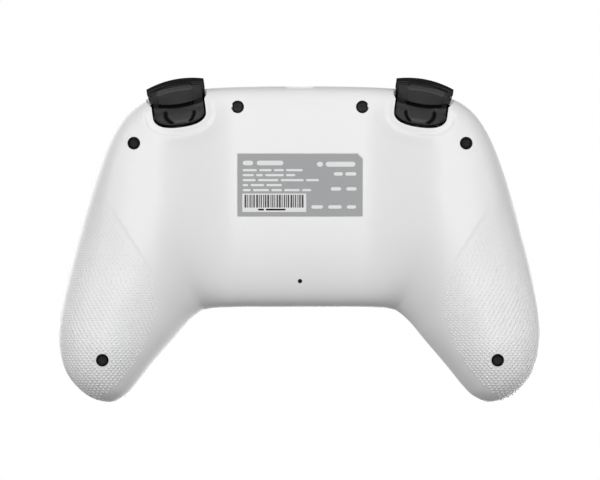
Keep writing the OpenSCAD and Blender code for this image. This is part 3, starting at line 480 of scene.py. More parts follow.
rear_cuts = [notch_cutter(s, -3, 40) for s in SIDES.values()]
for x, y, z in SCREW_PLACES:
    rear_cuts += [drum(s * x, y, OUTSIDE_Z, z, WELL_R) for s in SIDES.values()]
label_cut = [(-20.2, -10.2), (20.2, -10.2), (20.2, 10.2), (-18.6, 10.2), (-20.2, 8.6)]
rear_cuts.append(prism([(x, y + LABEL_Y) for x, y in label_cut], OUTSIDE_Z, PANEL_Z + LABEL_SINK))
rear_cuts.append(drum(0, RESET_Y, OUTSIDE_Z, 14, RESET_R, 24))
top_recess = [(-4.5, 48.6), (4.5, 48.6), (4.5, 53), (-4.5, 53)]
rear_cuts.append(prism(top_recess, 4, 21))
rear_cuts.append(usb_mouth())
lip_pockets = gather(*[lip_pocket(s) for s in SIDES.values()])
rear_mesh = cut(rear, hollow(-1), gather(*rear_cuts), lip_pockets)
rear_shell = dressed(rear_mesh, "rear_shell_skin", white_plastic)
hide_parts("rear_shell")

# Grip texture
# Fields of small diamond studs moulded with the white shell, in rows that wrap round the grips. They fill a
# field that lies a little lower than the smooth skin, so their tips come about level with it.
STUD_PITCH = 1.5
STUD_ROW = 0.8
STUD_LONG = 0.7
STUD_WIDE = 0.74
STUD_TALL = 0.26
STUD_TIP = 0.25
STUD_MARGIN = 0.75
SCREW_MARGIN = 2.75
GRID_LONG = 240
GRID_ROUND = 160
grip_us = np.linspace(4.6, 11.9, GRID_LONG)
grip_angles = np.linspace(14, 172, GRID_ROUND)
grip_grid = rear_skin(np.repeat(grip_us, GRID_ROUND), np.tile(grip_angles, GRID_LONG))
grip_grid = grip_grid.reshape(GRID_LONG, GRID_ROUND, 3)


def stud_places(y, shift):
    """Places of one row of studs on the right grip's skin, counted from the row's lowest point."""
    ys = grip_grid[:, :, 1]
    held = [k for k in range(GRID_ROUND) if ys[-1, k] < y < ys[0, k]]
    if len(held) < 4:
        return np.zeros(0), np.zeros(0)
    a = grip_angles[held]
    u = np.array([np.interp(-y, -ys[:, k], grip_us) for k in held])
    p = rear_skin(u, a)
    run = np.concatenate([[0], np.cumsum(np.linalg.norm(np.diff(p, axis=0), axis=1))])
    run -= run[np.argmin(p[:, 2])]
    steps = np.arange(math.ceil((run[0] - shift) / STUD_PITCH), (run[-1] - shift) / STUD_PITCH)
    at = steps * STUD_PITCH + shift
    return np.interp(at, run, u), np.interp(at, run, a)


def grip_studs(side):
    """All studs of one grip, clear of the screw well and the edges of the field."""
    mirror = Matrix.Diagonal((side * MM, MM, MM, 1))
    well_x, well_y, _ = SCREW_PLACES[2]
    rows = []
    for k, y in enumerate(np.arange(-51.2, 11, STUD_ROW)):
        u, a = stud_places(y, STUD_PITCH / 2 * (k % 2))
        if len(u) == 0:
            continue
        p = rear_skin(u, a)
        clear = np.hypot(p[:, 0] - well_x, p[:, 1] - well_y) > SCREW_MARGIN
        inside = clear & (grip_distance(p) < -STUD_MARGIN) & (p[:, 2] < part_height(p[:, 1]) - 1.2)
        p, u, a = p[inside], u[inside], a[inside]
        if len(p) == 0:
            continue
        run = rear_skin(u, a + 0.4) - p
        down = rear_skin(u + 0.02, a) - p
        out = np.cross(run, down)
        out *= -np.sign(out[:, 2:]) / np.linalg.norm(out, axis=1, keepdims=True)
        run /= np.linalg.norm(run, axis=1, keepdims=True)
        row = bmesh.new()
        hidden = 0.16 * (1 - smooth((a - 18) / 16) * smooth((170 - a) / 14))
        for place, t, n, hide in zip(p, run, out, hidden):
            b = np.cross(n, t)
            lift = 0.06 - 0.13 * smooth((y + 30) / 40) - hide
            columns = np.column_stack([t * STUD_LONG, b * STUD_WIDE, n, place + n * lift])
            stand = Matrix(columns.tolist() + [[0, 0, 0, 1]])
            bmesh.ops.create_cone(row, cap_ends=True, segments=4, radius1=1, radius2=STUD_TIP,
                                  depth=STUD_TALL, matrix=mirror @ stand)
        bmesh.ops.recalc_face_normals(row, faces=row.faces)
        rows.append(row)
    return gather(*rows)


for name, side in SIDES.items():
    studs = piece(grip_studs(side), "grip_texture_" + name, white_plastic, smooth_angle=20)

# Case screws
# Six black steel screws with a pan head and a cross recess. They hold the two shells together from the
# bottom of deep wells, where only the heads show.


def turned(profile, x, y, z, count=48):
    """Closed shape turned about an upright axis from a profile of radius and height, in millimetres."""
    bm = bmesh.new()
    row = [bm.verts.new((r * MM, 0, h * MM)) for r, h in profile]
    edges = [bm.edges.new(pair) for pair in zip(row, row[1:])]
    bmesh.ops.spin(bm, geom=row + edges, cent=(0, 0, 0), axis=(0, 0, 1), angle=2 * math.pi,
                   steps=count, use_merge=True)
    bmesh.ops.remove_doubles(bm, verts=bm.verts, dist=1e-6)
    bmesh.ops.recalc_face_normals(bm, faces=bm.faces)
    bmesh.ops.translate(bm, verts=bm.verts, vec=Vector((x, y, z)) * MM)
    return bm


def eased(points, count=6):
    """Smooth run of points through a few chosen ones."""
    knots = np.array([points[0]] + list(points) + [points[-1]], float)
    out = []
    for k in range(len(points) - 1):
        for t in np.arange(count) / count:
            out.append(tuple(curve_between(*knots[k:k + 4], t)))
    return out + [tuple(points[-1])]


def cross_plan(at, span, arm):
    h, w = span / 2, arm / 2
    points = [(h, -w), (h, w), (w, w), (w, h), (-w, h), (-w, w)]
    points += [(-h, w), (-h, -w), (-w, -w), (-w, -h), (w, -h), (w, -w)]
    return [(at[0] + x, at[1] + y) for x, y in points]


screw_black = moulded("black_oxide_screw", (0.045, 0.045, 0.046), 0.5, 0.03, 1500, 0.1)
head = [(0, -1.6)] + eased([(0.9, -1.6), (1.35, -1.5), (1.66, -1.2), (1.75, -0.7)], 4)
head += [(1.75, -0.05), (1.05, -0.05), (1.05, 10.6), (0.35, 11.7), (0, 11.9)]
RECESS_SPAN = 2.3
RECESS_ARM = 0.52
cross = cross_plan((0, 0), RECESS_SPAN, RECESS_ARM)
screw_bodies = []
recesses = []
for x, y, z in SCREW_PLACES:
    for s in SIDES.values():
        screw_bodies.append(turned(head, s * x, y, z, 36))
        turn = Matrix.Translation(Vector((s * x, y, z)) * MM) @ Matrix.Rotation(0.3 + x, 4, "Z")
        recesses.append(prism(cross, -2.4, -0.6, turn))
screws = dressed(cut(gather(*screw_bodies), gather(*recesses)), "case_screw_set", screw_black)
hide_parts("case_screws")

# Rear label
# Grey polyester film stuck in a shallow recess of the panel, printed in white with plain ruled lines and a
# white code panel that says nothing.
label_film = moulded("grey_label_film", (0.31, 0.315, 0.32), 0.5, 0.02, 2000)
label_ink = moulded("white_label_ink", (0.72, 0.72, 0.72), 0.55, 0.02, 2500)
code_ink = moulded("dark_label_ink", (0.03, 0.03, 0.032), 0.55, 0.02, 2500)
INK_LOW, INK_HIGH = 8.075, 8.12


def dress(mat, *names):
    for n in names:
        for part_slot in nodes[n].material_slots:
            part_slot.material = mat


dress(label_film, "rear_label")


def ruled(x, y, runs, tall):
    """Row of printed dashes: each run gives a length, and a gap follows it."""
    out = []
    for run, gap in runs:
        out.append(prism(stadium(run, tall, x - run / 2, y, 4), INK_LOW, INK_HIGH))
        x -= run + gap
    return out


dashes = ruled(18.4, 24.7, [(3.4, 1.1), (8.6, 0)], 1.5)
dashes += ruled(18.4, 22.4, [(4.6, 0.7), (4.0, 0.7), (3.2, 0.7), (5.4, 0)], 0.7)
dashes += ruled(18.4, 20.8, [(3.6, 0.7), (2.2, 0.7), (6.0, 0.7), (3.0, 0)], 0.7)
dashes += ruled(18.4, 19.2, [(4.2, 0.7), (6.6, 0.7), (7.4, 0.7), (4.2, 0)], 0.7)
dashes += ruled(18.4, 17.6, [(1.8, 0.7), (4.4, 0.7), (5.0, 0)], 0.7)
dashes += ruled(18.4, 16.0, [(2.6, 0.7), (5.2, 0.7), (3.4, 0.7), (5.0, 0.7), (3.0, 0)], 0.7)
dashes += ruled(-5.4, 24.3, [(2.0, 0.8), (9.6, 0)], 1.6)
dashes += ruled(-10.8, 21.2, [(3.0, 0.7), (3.6, 0)], 1.1)
dashes += ruled(-9.8, 16.4, [(3.4, 1.6), (3.4, 0)], 1.1)
dashes += ruled(-3.6, 10.6, [(3.8, 1.6), (4.4, 1.6), (3.0, 0)], 1.1)
panel = [(18.5, 9.0), (18.5, 14.9), (-2.0, 14.9), (-2.0, 9.0)]
dashes.append(prism(panel, INK_LOW, INK_HIGH))
print_white = piece(gather(*dashes), "label_print", label_ink)
BAR_WIDE = (0.62, 0.3, 0.4, 0.3, 0.5)
BAR_GAP = (0.28, 0.4, 0.25)
BAR_LOW, BAR_HIGH = 10.4, 14.5
bars = []
x = 17.8
for k in range(26):
    far_x = x - BAR_WIDE[k % 5]
    bar = [(x, BAR_LOW), (x, BAR_HIGH), (far_x, BAR_HIGH), (far_x, BAR_LOW)]
    bars.append(prism(bar, INK_LOW - 0.02, INK_LOW + 0.01))
    x = far_x - BAR_GAP[k % 3]
bars += ruled(13.5, 9.75, [(2.0, 0.5), (6.4, 0)], 0.55)
print_dark = piece(gather(*bars), "label_code_bars", code_ink)

# Triggers
# Two sprung levers of black plastic that swing on pins inside. Each has a hollow finger face that ends in a
# flared, arched lip with a raised rim, and under a crease a skirt that slides into the notch of the shell.
trigger_black = moulded("black_trigger_plastic", (0.026, 0.026, 0.027), 0.34, 0.03, 1400, 0.3)
# Painted shade: a darker, near-matt black for the trigger's outer edge, the line inside its rim, its crease
# and its grooves. It stands in for the shade and dark reflections there.
trigger_painted_shade = moulded("trigger_painted_shade_black", (0.008, 0.008, 0.008), 0.7, 0.03, 1400, 0.08)
TRIGGER_W = 16
LIP_ARC = 30
LIP_PEAK = (-1.5, 11.6)
LIP_FROM = 7
FLARE_INNER = 1.2
FLARE_OUTER = 1.45
HUB_R = 3.4
finger = eased([(3.4, 0.4), (4.4, -2.6), (7.6, -5.0), (8.1, -6.2), (7.6, -8), (7.3, -10.5), (7.5, -13),
                (8.3, -15.5), (9.6, -17.8), (11.2, -19.6)], 4)
rim = eased([(11.45, -19.9), (11.6, -20.3), (11.45, -20.7), (11.1, -20.88)], 3)
face = [(11.1 - 7.5 * k / 30, -20.9 + 1.6 * k / 30) for k in range(1, 31)]
crease = [(3.45, -19.2), (3.3, -18.3), (2.9, -18.0), (2.6, -18.25)]
skirt = eased([(2.3, -18.8), (0.7, -20.0), (-1.2, -20.7), (-2.9, -20.7), (-4.7, -20.3)], 9)
back = [(-4.5, -19.2), (-4.1, -16.5), (-3.2, -12), (-3.3, -6), (-3.4, 0)]
hub_turns = [math.radians(t) for t in (30, 60, 90, 120, 150)]
hub = [(-HUB_R * math.cos(t), HUB_R * math.sin(t)) for t in hub_turns]
ring = finger + rim + face + crease + skirt + back + hub
FACE_FROM = len(finger) + len(rim)
FACE_TO = FACE_FROM + len(face)
CREASE_TO = FACE_TO + len(crease)
SKIRT_TO = CREASE_TO + len(skirt)
ring = np.array(ring + ring[:1])


def groove_offsets(x, y):
    """Distances across from the middles of a skirt's outer and inner grooves."""
    outer = x - 4.5 + 0.32 * np.clip(-y, 0, 9) ** 2
    inner = x + 4.75 - 0.19 * np.clip(0.6 - y, 0, 9) ** 2
    return outer, inner


def trigger_skin(side_share, place):
    """Points of a trigger about its pin: across from -1 to 1, and a place on the ring round its side."""
    k = np.round(place).astype(int) % (len(ring) - 1)
    y, z = ring[k, 0].copy(), ring[k, 1].copy()
    flare = smooth((y - 6.4) / 1.6) * smooth((-16.4 - z) / 1.6)
    x = side_share * (TRIGGER_W / 2 + flare * np.where(side_share < 0, FLARE_INNER, FLARE_OUTER))
    top = LIP_PEAK[1] - LIP_ARC + np.sqrt(LIP_ARC ** 2 - (x - LIP_PEAK[0]) ** 2)
    stretch = 1 + (top - LIP_PEAK[1]) / (LIP_PEAK[1] - LIP_FROM) * smooth((-14 - z) / 5)
    y = np.where(y > LIP_FROM, LIP_FROM + (y - LIP_FROM) * stretch, y)
    on_face = (k >= FACE_FROM) & (k < FACE_TO)
    d = top - y
    dish = smooth((6.9 - x) / 0.8) * smooth((x + 5.4) / 0.8)
    dished = 0.5 * smooth((d - 1.5) / 0.4) - 0.75 * smooth((d - 2.2) / 1.6)
    step = 0.45 * smooth((d - 1.35) / 0.3) + dish * dished
    z = z + np.where(on_face, step * smooth((8.6 - np.abs(x)) / 0.5), 0)
    creased = (k >= FACE_TO) & (k < CREASE_TO)
    deep = smooth((6.3 - np.abs(x - 0.6)) / 0.7)
    z = z + np.where(creased, -1.0 + 1.9 * deep, 0)
    floor_y = BOWL_Y - BOWL_DEEP * (1 - np.clip(np.abs(x) / 8.3, 0, 1) ** 2.5) ** 0.4
    over = y - floor_y
    under = (k >= CREASE_TO) & (k < SKIRT_TO)
    tuck = 3.2 * smooth((0.75 - over) / 0.45)
    z = z + np.where(under, tuck - 0.3 * np.exp(-((over - 1.15) / 0.3) ** 2), 0)
    outer, inner = groove_offsets(x, y)
    outer_groove = np.exp(-(outer / 0.5) ** 2) * smooth((2.4 - y) / 1.5)
    inner_groove = np.exp(-(inner / 0.4) ** 2) * smooth((1.4 - y) / 1.2)
    z = z + np.where(under, 1.2 * (outer_groove + inner_groove) * smooth((y + 2.6) / 0.6), 0)
    bow = np.where((k >= FACE_FROM + 12) & (k < CREASE_TO + 4), 0.02 * x * x * smooth((7 - y) / 4), 0)
    finger_crown = np.where(k < len(finger), 0.006 * x * x * smooth((-4 - z) / 4), 0)
    return np.stack([x, y + bow - finger_crown, z], -1)


def painted_shade_faces(share, place):
    """Tells which faces of a trigger get the painted shade: a darker, near-matt black on the outer edge, the
    line inside the rim, the crease and the grooves, where shade falls.
    """
    if len(finger) <= place < FACE_FROM + 2:
        return True
    if FACE_FROM <= place < FACE_FROM + 16 and abs(share) > 0.95:
        return True
    if FACE_FROM + 6 <= place < FACE_FROM + 7:
        return -0.8 < share < 0.85
    if FACE_TO <= place < CREASE_TO:
        return -0.62 < share < 0.78
    if CREASE_TO <= place < SKIRT_TO:
        y = ring[int(place), 0]
        outer, inner = groove_offsets(TRIGGER_W / 2 * share, y)
        return -2.4 < y < 1.6 and abs(outer) < 0.42 or -2.4 < y < 0.8 and abs(inner) < 0.34
    return False


ACROSS = Matrix(((0, 0, 1, 0), (1, 0, 0, 0), (0, 1, 0, 0), (0, 0, 0, 1)))
pocket = [(-3, -2), (3.4, -4.4), (5.9, -6.6), (5.6, -10.5), (5.8, -13.4), (6.7, -16.2), (7.4, -17.4)]
pocket += [(5.6, -16.9), (3.6, -15.6), (1.3, -17.2), (-0.6, -18.4), (-2.8, -19.1), (-8, -18.6), (-6, 4.4)]
pocket += [(3.6, 4.4), (3.8, -1.6), (1, -3.4)]
bore_plan = [(1.3 * math.cos(t * math.pi / 12), 1.3 * math.sin(t * math.pi / 12)) for t in range(24)]
slit_plan = [(-7.0, 1.6), (-7.6, 1.5), (-7.6, 0.1), (-7.1, 0.1)]
cheek = TRIGGER_W / 2 - 1.6


def trigger_body(side):
    """Closed lever with a hollow behind its finger face, a bore for its pin and a slit in its skirt."""
    shares = spread((-1, -0.9, 6), (-0.9, 0.9, 96), (0.9, 1, 6))
    bm = skin_sheet(shares, list(range(len(ring))))
    along = bm.verts.layers.float["along"]
    around = bm.verts.layers.float["around"]
    for f in bm.faces:
        share = sum(v[along] for v in f.verts) / 4
        # Faces on the outer edge, rim line, crease and grooves take the second material, the painted shade.
        f.material_index = int(painted_shade_faces(share, sum(v[around] for v in f.verts) / 4))
    lay_on_skin(bm, trigger_skin)
    bmesh.ops.remove_doubles(bm, verts=bm.verts, dist=1e-7)
    bmesh.ops.holes_fill(bm, edges=[e for e in bm.edges if e.is_boundary], sides=0)
    bmesh.ops.recalc_face_normals(bm, faces=bm.faces)
    hollow_room = prism(pocket, -cheek, cheek, ACROSS)
    bore = prism(bore_plan, -12, 12, ACROSS)
    slit = prism(slit_plan, -30, -18.2)
    mesh = cut(bm, hollow_room, bore, slit, materials=(trigger_black, trigger_painted_shade))
    mesh.transform(trigger_frame(side))
    if side < 0:
        mesh.flip_normals()
    return mesh


for name, side in SIDES.items():
    trigger = dressed(trigger_body(side), "trigger_lever_" + name, trigger_black, "trigger_" + name, 35)
    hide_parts("trigger_" + name)

# Front shell
# The half of moulded white plastic that the thumbs work on, with openings for sticks, buttons, direction pad
# and light windows. It meets the rear shell in a fine gap, and the case screws hold it.
STICKS = {"left": (-38.5, 18.0), "right": (19.5, -2.145)}
DPAD_AT = (-19.5, -2.145)
FACE_AT = (38.5, 18.0)
FACE_OFF = 9.8
FACE_BUTTONS = {
    "north": (FACE_AT[0], FACE_AT[1] + FACE_OFF), "east": (FACE_AT[0] + FACE_OFF, FACE_AT[1]),
    "south": (FACE_AT[0], FACE_AT[1] - FACE_OFF), "west": (FACE_AT[0] - FACE_OFF, FACE_AT[1])}
MENU = {"select": (-13.5, 25), "start": (13.5, 25), "capture": (-9, 12), "home": (9, 12)}
LENS_Y = -13.5
BUMPER_U = (1.62, 4.4)
BUMPER_RISE = (0.22, 0.85)
OPEN_LOW, OPEN_HIGH = 32, 44


def away(p, at):
    return np.hypot(p[:, 0] - at[0], p[:, 1] - at[1])


def front_skin(u, a):
    """Front skin, sunk a little round the sticks, the direction pad and the buttons."""
    p = skin(u, a, 1)
    low = np.zeros(len(p))
    for at in STICKS.values():
        low = np.maximum(low, 0.9 * (1 - smooth((away(p, at) - 11.5) / 1.8)))
    for at in FACE_BUTTONS.values():
        low = np.maximum(low, 0.35 * (1 - smooth((away(p, at) - 5.4) / 0.9)))
    low = np.maximum(low, 0.9 * (1 - smooth((away(p, DPAD_AT) - 11.8) / 2.6)))
    for at in MENU.values():
        low = np.maximum(low, 0.2 * (1 - smooth((away(p, at) - 4.6) / 0.8)))
    p[:, 2] -= low * smooth((p[:, 2] - 30) / 4)
    return p


def front_rims(p):
    """Tells which points lie on the rims of the sunk places."""
    near = np.abs(away(p, DPAD_AT) - 13) < 2
    for at in STICKS.values():
        near |= np.abs(away(p, at) - 12.2) < 1.6
    for at in FACE_BUTTONS.values():
        near |= np.abs(away(p, at) - 5.9) < 1.1
    return near & (p[:, 2] > 33)


def rise_angle(u, rise):
    return np.degrees(np.arcsin(rise ** (squareness(np.abs(u), 4.5) / 2)))


def patch(us, rises, high, low, steps=(48, 10)):
    """Closed slab of the front's skin between two heights, from one depth to another."""
    bm = skin_sheet(spread((us[0], us[1], steps[0])), spread((rises[0], rises[1], steps[1])))

    def lay(u, r, grow):
        share = (r - rises[0]) / (rises[1] - rises[0])
        a = rise_angle(u, rises[0]) * (1 - share) + rise_angle(u, rises[1]) * share
        return skin(u, a, 1, grow)

    lay_on_skin(bm, lambda u, r: lay(u, r, high))
    inner = bmesh.ops.extrude_face_region(bm, geom=bm.faces[:], use_keep_orig=True)["geom"]
    inner = [v for v in inner if isinstance(v, bmesh.types.BMVert)]
    along = bm.verts.layers.float["along"]
    around = bm.verts.layers.float["around"]
    places = lay(np.array([v[along] for v in inner]), np.array([v[around] for v in inner]), low) * MM
    for v, q in zip(inner, places):
        v.co = q
    bmesh.ops.recalc_face_normals(bm, faces=bm.faces)
    return bm


def mirrored(bm, side):
    if side < 0:
        bmesh.ops.scale(bm, vec=(-1, 1, 1), verts=bm.verts)
        bmesh.ops.reverse_faces(bm, faces=bm.faces)
    return bm


def box_plan(at, wide, tall):
    return [(at[0] + x * wide / 2, at[1] + y * tall / 2) for x, y in ((1, -1), (1, 1), (-1, 1), (-1, -1))]


front_us = spread((-12, -11, 10), (-11, 11, 230), (11, 12, 10))
front_angles = spread((0, 30, 10), (30, 62, 16), (62, 118, 60), (118, 150, 16), (150, 180, 10))
front = skin_sheet(front_us, front_angles)
refine(front, front_skin, front_rims)
lay_on_skin(front, front_skin)
close_body(front)
openings = [drum(x, y, OPEN_LOW, OPEN_HIGH, 11.6, 72) for x, y in STICKS.values()]
openings += [drum(x, y, OPEN_LOW, OPEN_HIGH, 5.5) for x, y in FACE_BUTTONS.values()]
openings.append(prism(cross_plan(DPAD_AT, 23.6, 9.2), OPEN_LOW, OPEN_HIGH))
openings += [prism(stadium(7.6, 4.8, *MENU[k]), OPEN_LOW, OPEN_HIGH) for k in ("select", "start")]
openings.append(prism(box_plan(MENU["capture"], 7, 7), OPEN_LOW, OPEN_HIGH))
openings.append(drum(*MENU["home"], OPEN_LOW, OPEN_HIGH, 4.1))
openings += [prism(box_plan((x, LENS_Y), 2.4, 1.4), 31, OPEN_HIGH) for x in (-7.5, -2.5, 2.5, 7.5)]
openings.append(usb_mouth())
u_step = 1 / 14.6
bumper_room_u = (BUMPER_U[0] - 0.4 * u_step, BUMPER_U[1] + 0.7 * u_step)
bumper_room_rise = (BUMPER_RISE[0] - 0.4 / 14, BUMPER_RISE[1] + 0.5 / 14)
openings += [mirrored(patch(bumper_room_u, bumper_room_rise, 4, -5), s) for s in SIDES.values()]
notches = [notch_cutter(s, -1, 28) for s in SIDES.values()]
front_mesh = cut(front, hollow(1), gather(*notches), gather(*openings))
front_shell = dressed(front_mesh, "front_shell_skin", white_plastic)
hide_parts("front_shell")

# Bumpers
# Two shoulder buttons of black plastic that carry the front shell's curve on. Each swings on a pin in a boss
# at its inner end.
bumper_black = moulded("black_bumper_plastic", (0.035, 0.035, 0.037), 0.3, 0.03, 1400)
for name, side in SIDES.items():
    bm = patch(BUMPER_U, BUMPER_RISE, 0.05, -2.2, (64, 14))
    sharp = [e for e in bm.edges if len(e.link_faces) == 2 and e.calc_face_angle() > math.radians(50)]
    bmesh.ops.bevel(bm, geom=sharp, offset=0.4 * MM, segments=3, profile=0.5, affect="EDGES", material=-1)
    boss = turned([(1.05, -1.3), (1.6, -1.3), (1.6, 3.7), (1.05, 3.7), (1.05, -1.3)], 25.08, 44.727, 29, 24)
    shape = mirrored(gather(bm, boss), side)
    bumper = piece(shape, "bumper_key_" + name, bumper_black, "bumper_" + name, 35)
    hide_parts("bumper_" + name)

# Thumb sticks
# Black rubber thumb caps with a hollow top and a ribbed edge, on a neck that grows out of a dome under the
# shell. Each is pressed on the lever of its mechanism.
stick_rubber = moulded("black_stick_rubber", (0.028, 0.028, 0.029), 0.6, 0.06, 1800)
STICK_Z = 30
RIBS = 56
cap = [(0, 15.0), (1.55, 15.0), (1.55, 8.0)]
cap += eased([(3.4, 8.6), (6.3, 8.75), (8.6, 6.45), (10.2, 3.6), (10.75, 1.9)], 5)
cap += eased([(11.4, 2.0), (11.9, 2.15), (11.5, 3.7), (10.0, 6.8), (7.8, 9.25), (5.4, 10.8), (4.3, 12.0),
              (4.0, 13.6), (4.1, 15.8), (5.2, 16.9)], 5)
cap += eased([(8.3, 17.1), (8.9, 17.5), (9.05, 18.1), (9.05, 19.2), (8.85, 19.9), (8.3, 20.38),
              (7.6, 20.48), (6.9, 20.25)], 4)
cap += eased([(6.6, 19.8), (5.0, 19.35), (2.6, 19.1), (0, 19.05)], 5)
rib_plan = [(8.8, -0.2), (9.22, -0.13), (9.22, 0.13), (8.8, 0.2)]


def ribbed_edge(x, y):
    """Row of small upright ribs round a thumb cap."""
    ribs = []
    for k in range(RIBS):
        t = 2 * math.pi * k / RIBS
        place = Matrix.Translation(Vector((x, y, STICK_Z)) * MM) @ Matrix.Rotation(t, 4, "Z")
        ribs.append(prism(rib_plan, 17.8, 19.5, place))
    return ribs


for name, at in STICKS.items():
    shape = gather(turned(cap, *at, STICK_Z, 72), *ribbed_edge(*at))
    stick = piece(shape, "stick_thumb_" + name, stick_rubber, "stick_top_" + name, 38)
    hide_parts("stick_cap_" + name)

# Direction pad
# One-piece black plastic cross with rounded edges, a hollow in its middle and a dimple on each arm. It rocks
# on a ball, and its flange keeps it under the shell.
PAD_TOP = 40.8
DIMPLE_OFF = 7.6
button_black = moulded("black_button_plastic", (0.035, 0.035, 0.037), 0.28, 0.02, 1400)


def bevelled(bm, width, steps=3):
    """Rounds the sharp edges of a closed shape."""
    sharp = [e for e in bm.edges if e.calc_face_angle(0) > math.radians(30)]
    bmesh.ops.bevel(bm, geom=sharp, offset=width * MM, segments=steps, profile=0.5, affect="EDGES",
                    material=-1)
    return bm


pad = bevelled(prism(cross_plan(DPAD_AT, 22, 7.6), 33, PAD_TOP), 0.6)
middle = [(0, -1.0), (1.5, -0.95), (3.2, -0.5), (4.2, 0.2), (4.2, 2), (0, 2)]
dimple = [(0, -0.5), (0.6, -0.42), (1.1, 0.05), (1.1, 1), (0, 1)]
hollows = [turned(middle, *DPAD_AT, PAD_TOP, 40)]
for dx, dy in ((1, 0), (-1, 0), (0, 1), (0, -1)):
    x, y = DPAD_AT[0] + dx * DIMPLE_OFF, DPAD_AT[1] + dy * DIMPLE_OFF
    hollows.append(turned(dimple, x, y, PAD_TOP, 20))
pad_mesh = cut(pad, gather(*hollows))
pad_top = bmesh.new()
pad_top.from_mesh(pad_mesh)
bpy.data.meshes.remove(pad_mesh)
flange = [(2.2, 32), (11.3, 32), (11.4, 32.2), (11.4, 33.0), (11.2, 33.2), (2.2, 33.2), (2.2, 32)]
pad_flange = turned(flange, *DPAD_AT, 0, 56)
direction_pad = piece(gather(pad_top, pad_flange), "direction_cross", button_black, "direction_pad", 35)
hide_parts("direction_pad")

# Face buttons
# Four domed buttons of black plastic in a diamond, on a rubber membrane that springs them back. A flange
# under the shell keeps each of them in its hole.
button = [(0, 33.35), (6.1, 33.35), (6.2, 33.45), (6.2, 34.35), (6.1, 34.45), (5.2, 34.45), (5.2, 39.7)]
button += eased([(5.12, 40.0), (4.85, 40.25), (4.3, 40.4), (3.0, 40.54), (1.5, 40.6), (0, 40.6)], 4)
for name, at in FACE_BUTTONS.items():
    key = piece(turned(button, *at, 0, 56), "face_key_" + name, button_black, "face_button_" + name, 35)
    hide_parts("face_button_" + name)

# Menu buttons
# Two pill-shaped buttons, a small square one and a round one between the sticks, all in black plastic. They
# stand on a rubber membrane, and flanges keep them under the shell.


def menu_key(name, plan, flange_plan):
    top = bevelled(prism(plan, 34.4, 39), 0.35)
    shape = gather(top, prism(flange_plan, 33.3, 34.5))
    key = piece(shape, "menu_key_" + name, button_black, name + "_button", 35)
    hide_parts(name + "_button")


def round_plan(at, r, count=40):
    turns = [2 * math.pi * k / count for k in range(count)]
    return [(at[0] + r * math.cos(t), at[1] + r * math.sin(t)) for t in turns]


for name in ("select", "start"):
    menu_key(name, stadium(7, 4.2, *MENU[name]), stadium(9, 6.2, *MENU[name]))
menu_key("capture", box_plan(MENU["capture"], 6.4, 6.4), box_plan(MENU["capture"], 8.4, 8.4))
menu_key("home", round_plan(MENU["home"], 3.8), round_plan(MENU["home"], 4.8))

# Small parts and insides
# Frosted light windows, the charging socket, and the works inside: brackets, pins, springs, stick
# mechanisms, board, rubber domes, battery and rumble motors. They keep the shapes of the solids.


def metal(name, colour, rough, stretch=(1, 1, 12)):
    """Metal with fine drawn lines in its gloss and a slight unevenness."""
    mat = bpy.data.materials.new(name)
    mat.use_nodes = True
    tree = mat.node_tree
    shader = tree.nodes["Principled BSDF"]
    shader.inputs["Metallic"].default_value = 1
    coords = add_node(tree, "TexCoord")
    lie = add_node(tree, "Mapping", Scale=stretch)
    lines = add_node(tree, "TexNoise", Scale=700, Detail=3)
    gloss = add_node(tree, "MapRange", To_Min=rough - 0.08, To_Max=rough + 0.08)
    tint = two_tints(tree, [c * 0.92 for c in colour], colour)
    link = tree.links.new
    link(coords.outputs["Object"], lie.inputs["Vector"])
    link(lie.outputs["Vector"], lines.inputs["Vector"])
    link(lines.outputs["Fac"], gloss.inputs["Value"])
    link(gloss.outputs["Result"], shader.inputs["Roughness"])
    link(lines.outputs["Fac"], tint.inputs["Factor"])
    link(tint.outputs["Result"], shader.inputs["Base Color"])
    return mat


steel = metal("drawn_steel", (0.6, 0.6, 0.61), 0.34)
inner_plastic = moulded("black_inner_plastic", (0.05, 0.05, 0.052), 0.5, 0.04, 1200)
silicone = moulded("grey_silicone", (0.55, 0.55, 0.56), 0.6, 0.03, 900)
lens = moulded("frosted_lens", (0.72, 0.77, 0.79), 0.3, 0.02, 1500, 0.2)
board_mask = moulded("green_solder_mask", (0.02, 0.12, 0.05), 0.35, 0.05, 500, 0.3)
foil = metal("pouch_foil", (0.68, 0.68, 0.7), 0.3, (4, 4, 4))
for side in SIDES:
    for name in ("trigger_pin", "trigger_spring", "bumper_pin", "stick_lever", "stick_housing",
                 "rumble_motor", "rumble_weight"):
        dress(steel, name + "_" + side)
    for name in ("trigger_bracket", "bumper_switch", "stick_hub", "stick_yoke", "stick_arm"):
        dress(inner_plastic, name + "_" + side)
dress(steel, "direction_ball", "board_screws", "usb_port")
dress(inner_plastic, "direction_post", "reset_switch", "reset_plunger", "board_parts")
dress(silicone, "direction_membrane", "face_membrane", "menu_membrane")
dress(lens, "indicator_lens")
dress(board_mask, "main_board")
dress(foil, "battery_pack")

# Studio
# Pale floor under the pad that lets the view and the light from below through, soft lamps above and below,
# and a camera that looks square at the rear panel.
floor_bm = bmesh.new()
bmesh.ops.create_grid(floor_bm, x_segments=1, y_segments=1, size=3)
floor_mat = bpy.data.materials.new("pale_floor")
floor_mat.use_nodes = True
tree = floor_mat.node_tree
paint = tree.nodes["Principled BSDF"]
paint.inputs["Base Color"].default_value = (0.86, 0.86, 0.86, 1)
paint.inputs["Roughness"].default_value = 0.9


def either(tree, first, second):
    """One where at least one of two outputs is one."""
    node = add_node(tree, "Math")
    node.operation = "MAXIMUM"
    tree.links.new(first, node.inputs[0])
    tree.links.new(second, node.inputs[1])
    return node.outputs["Value"]


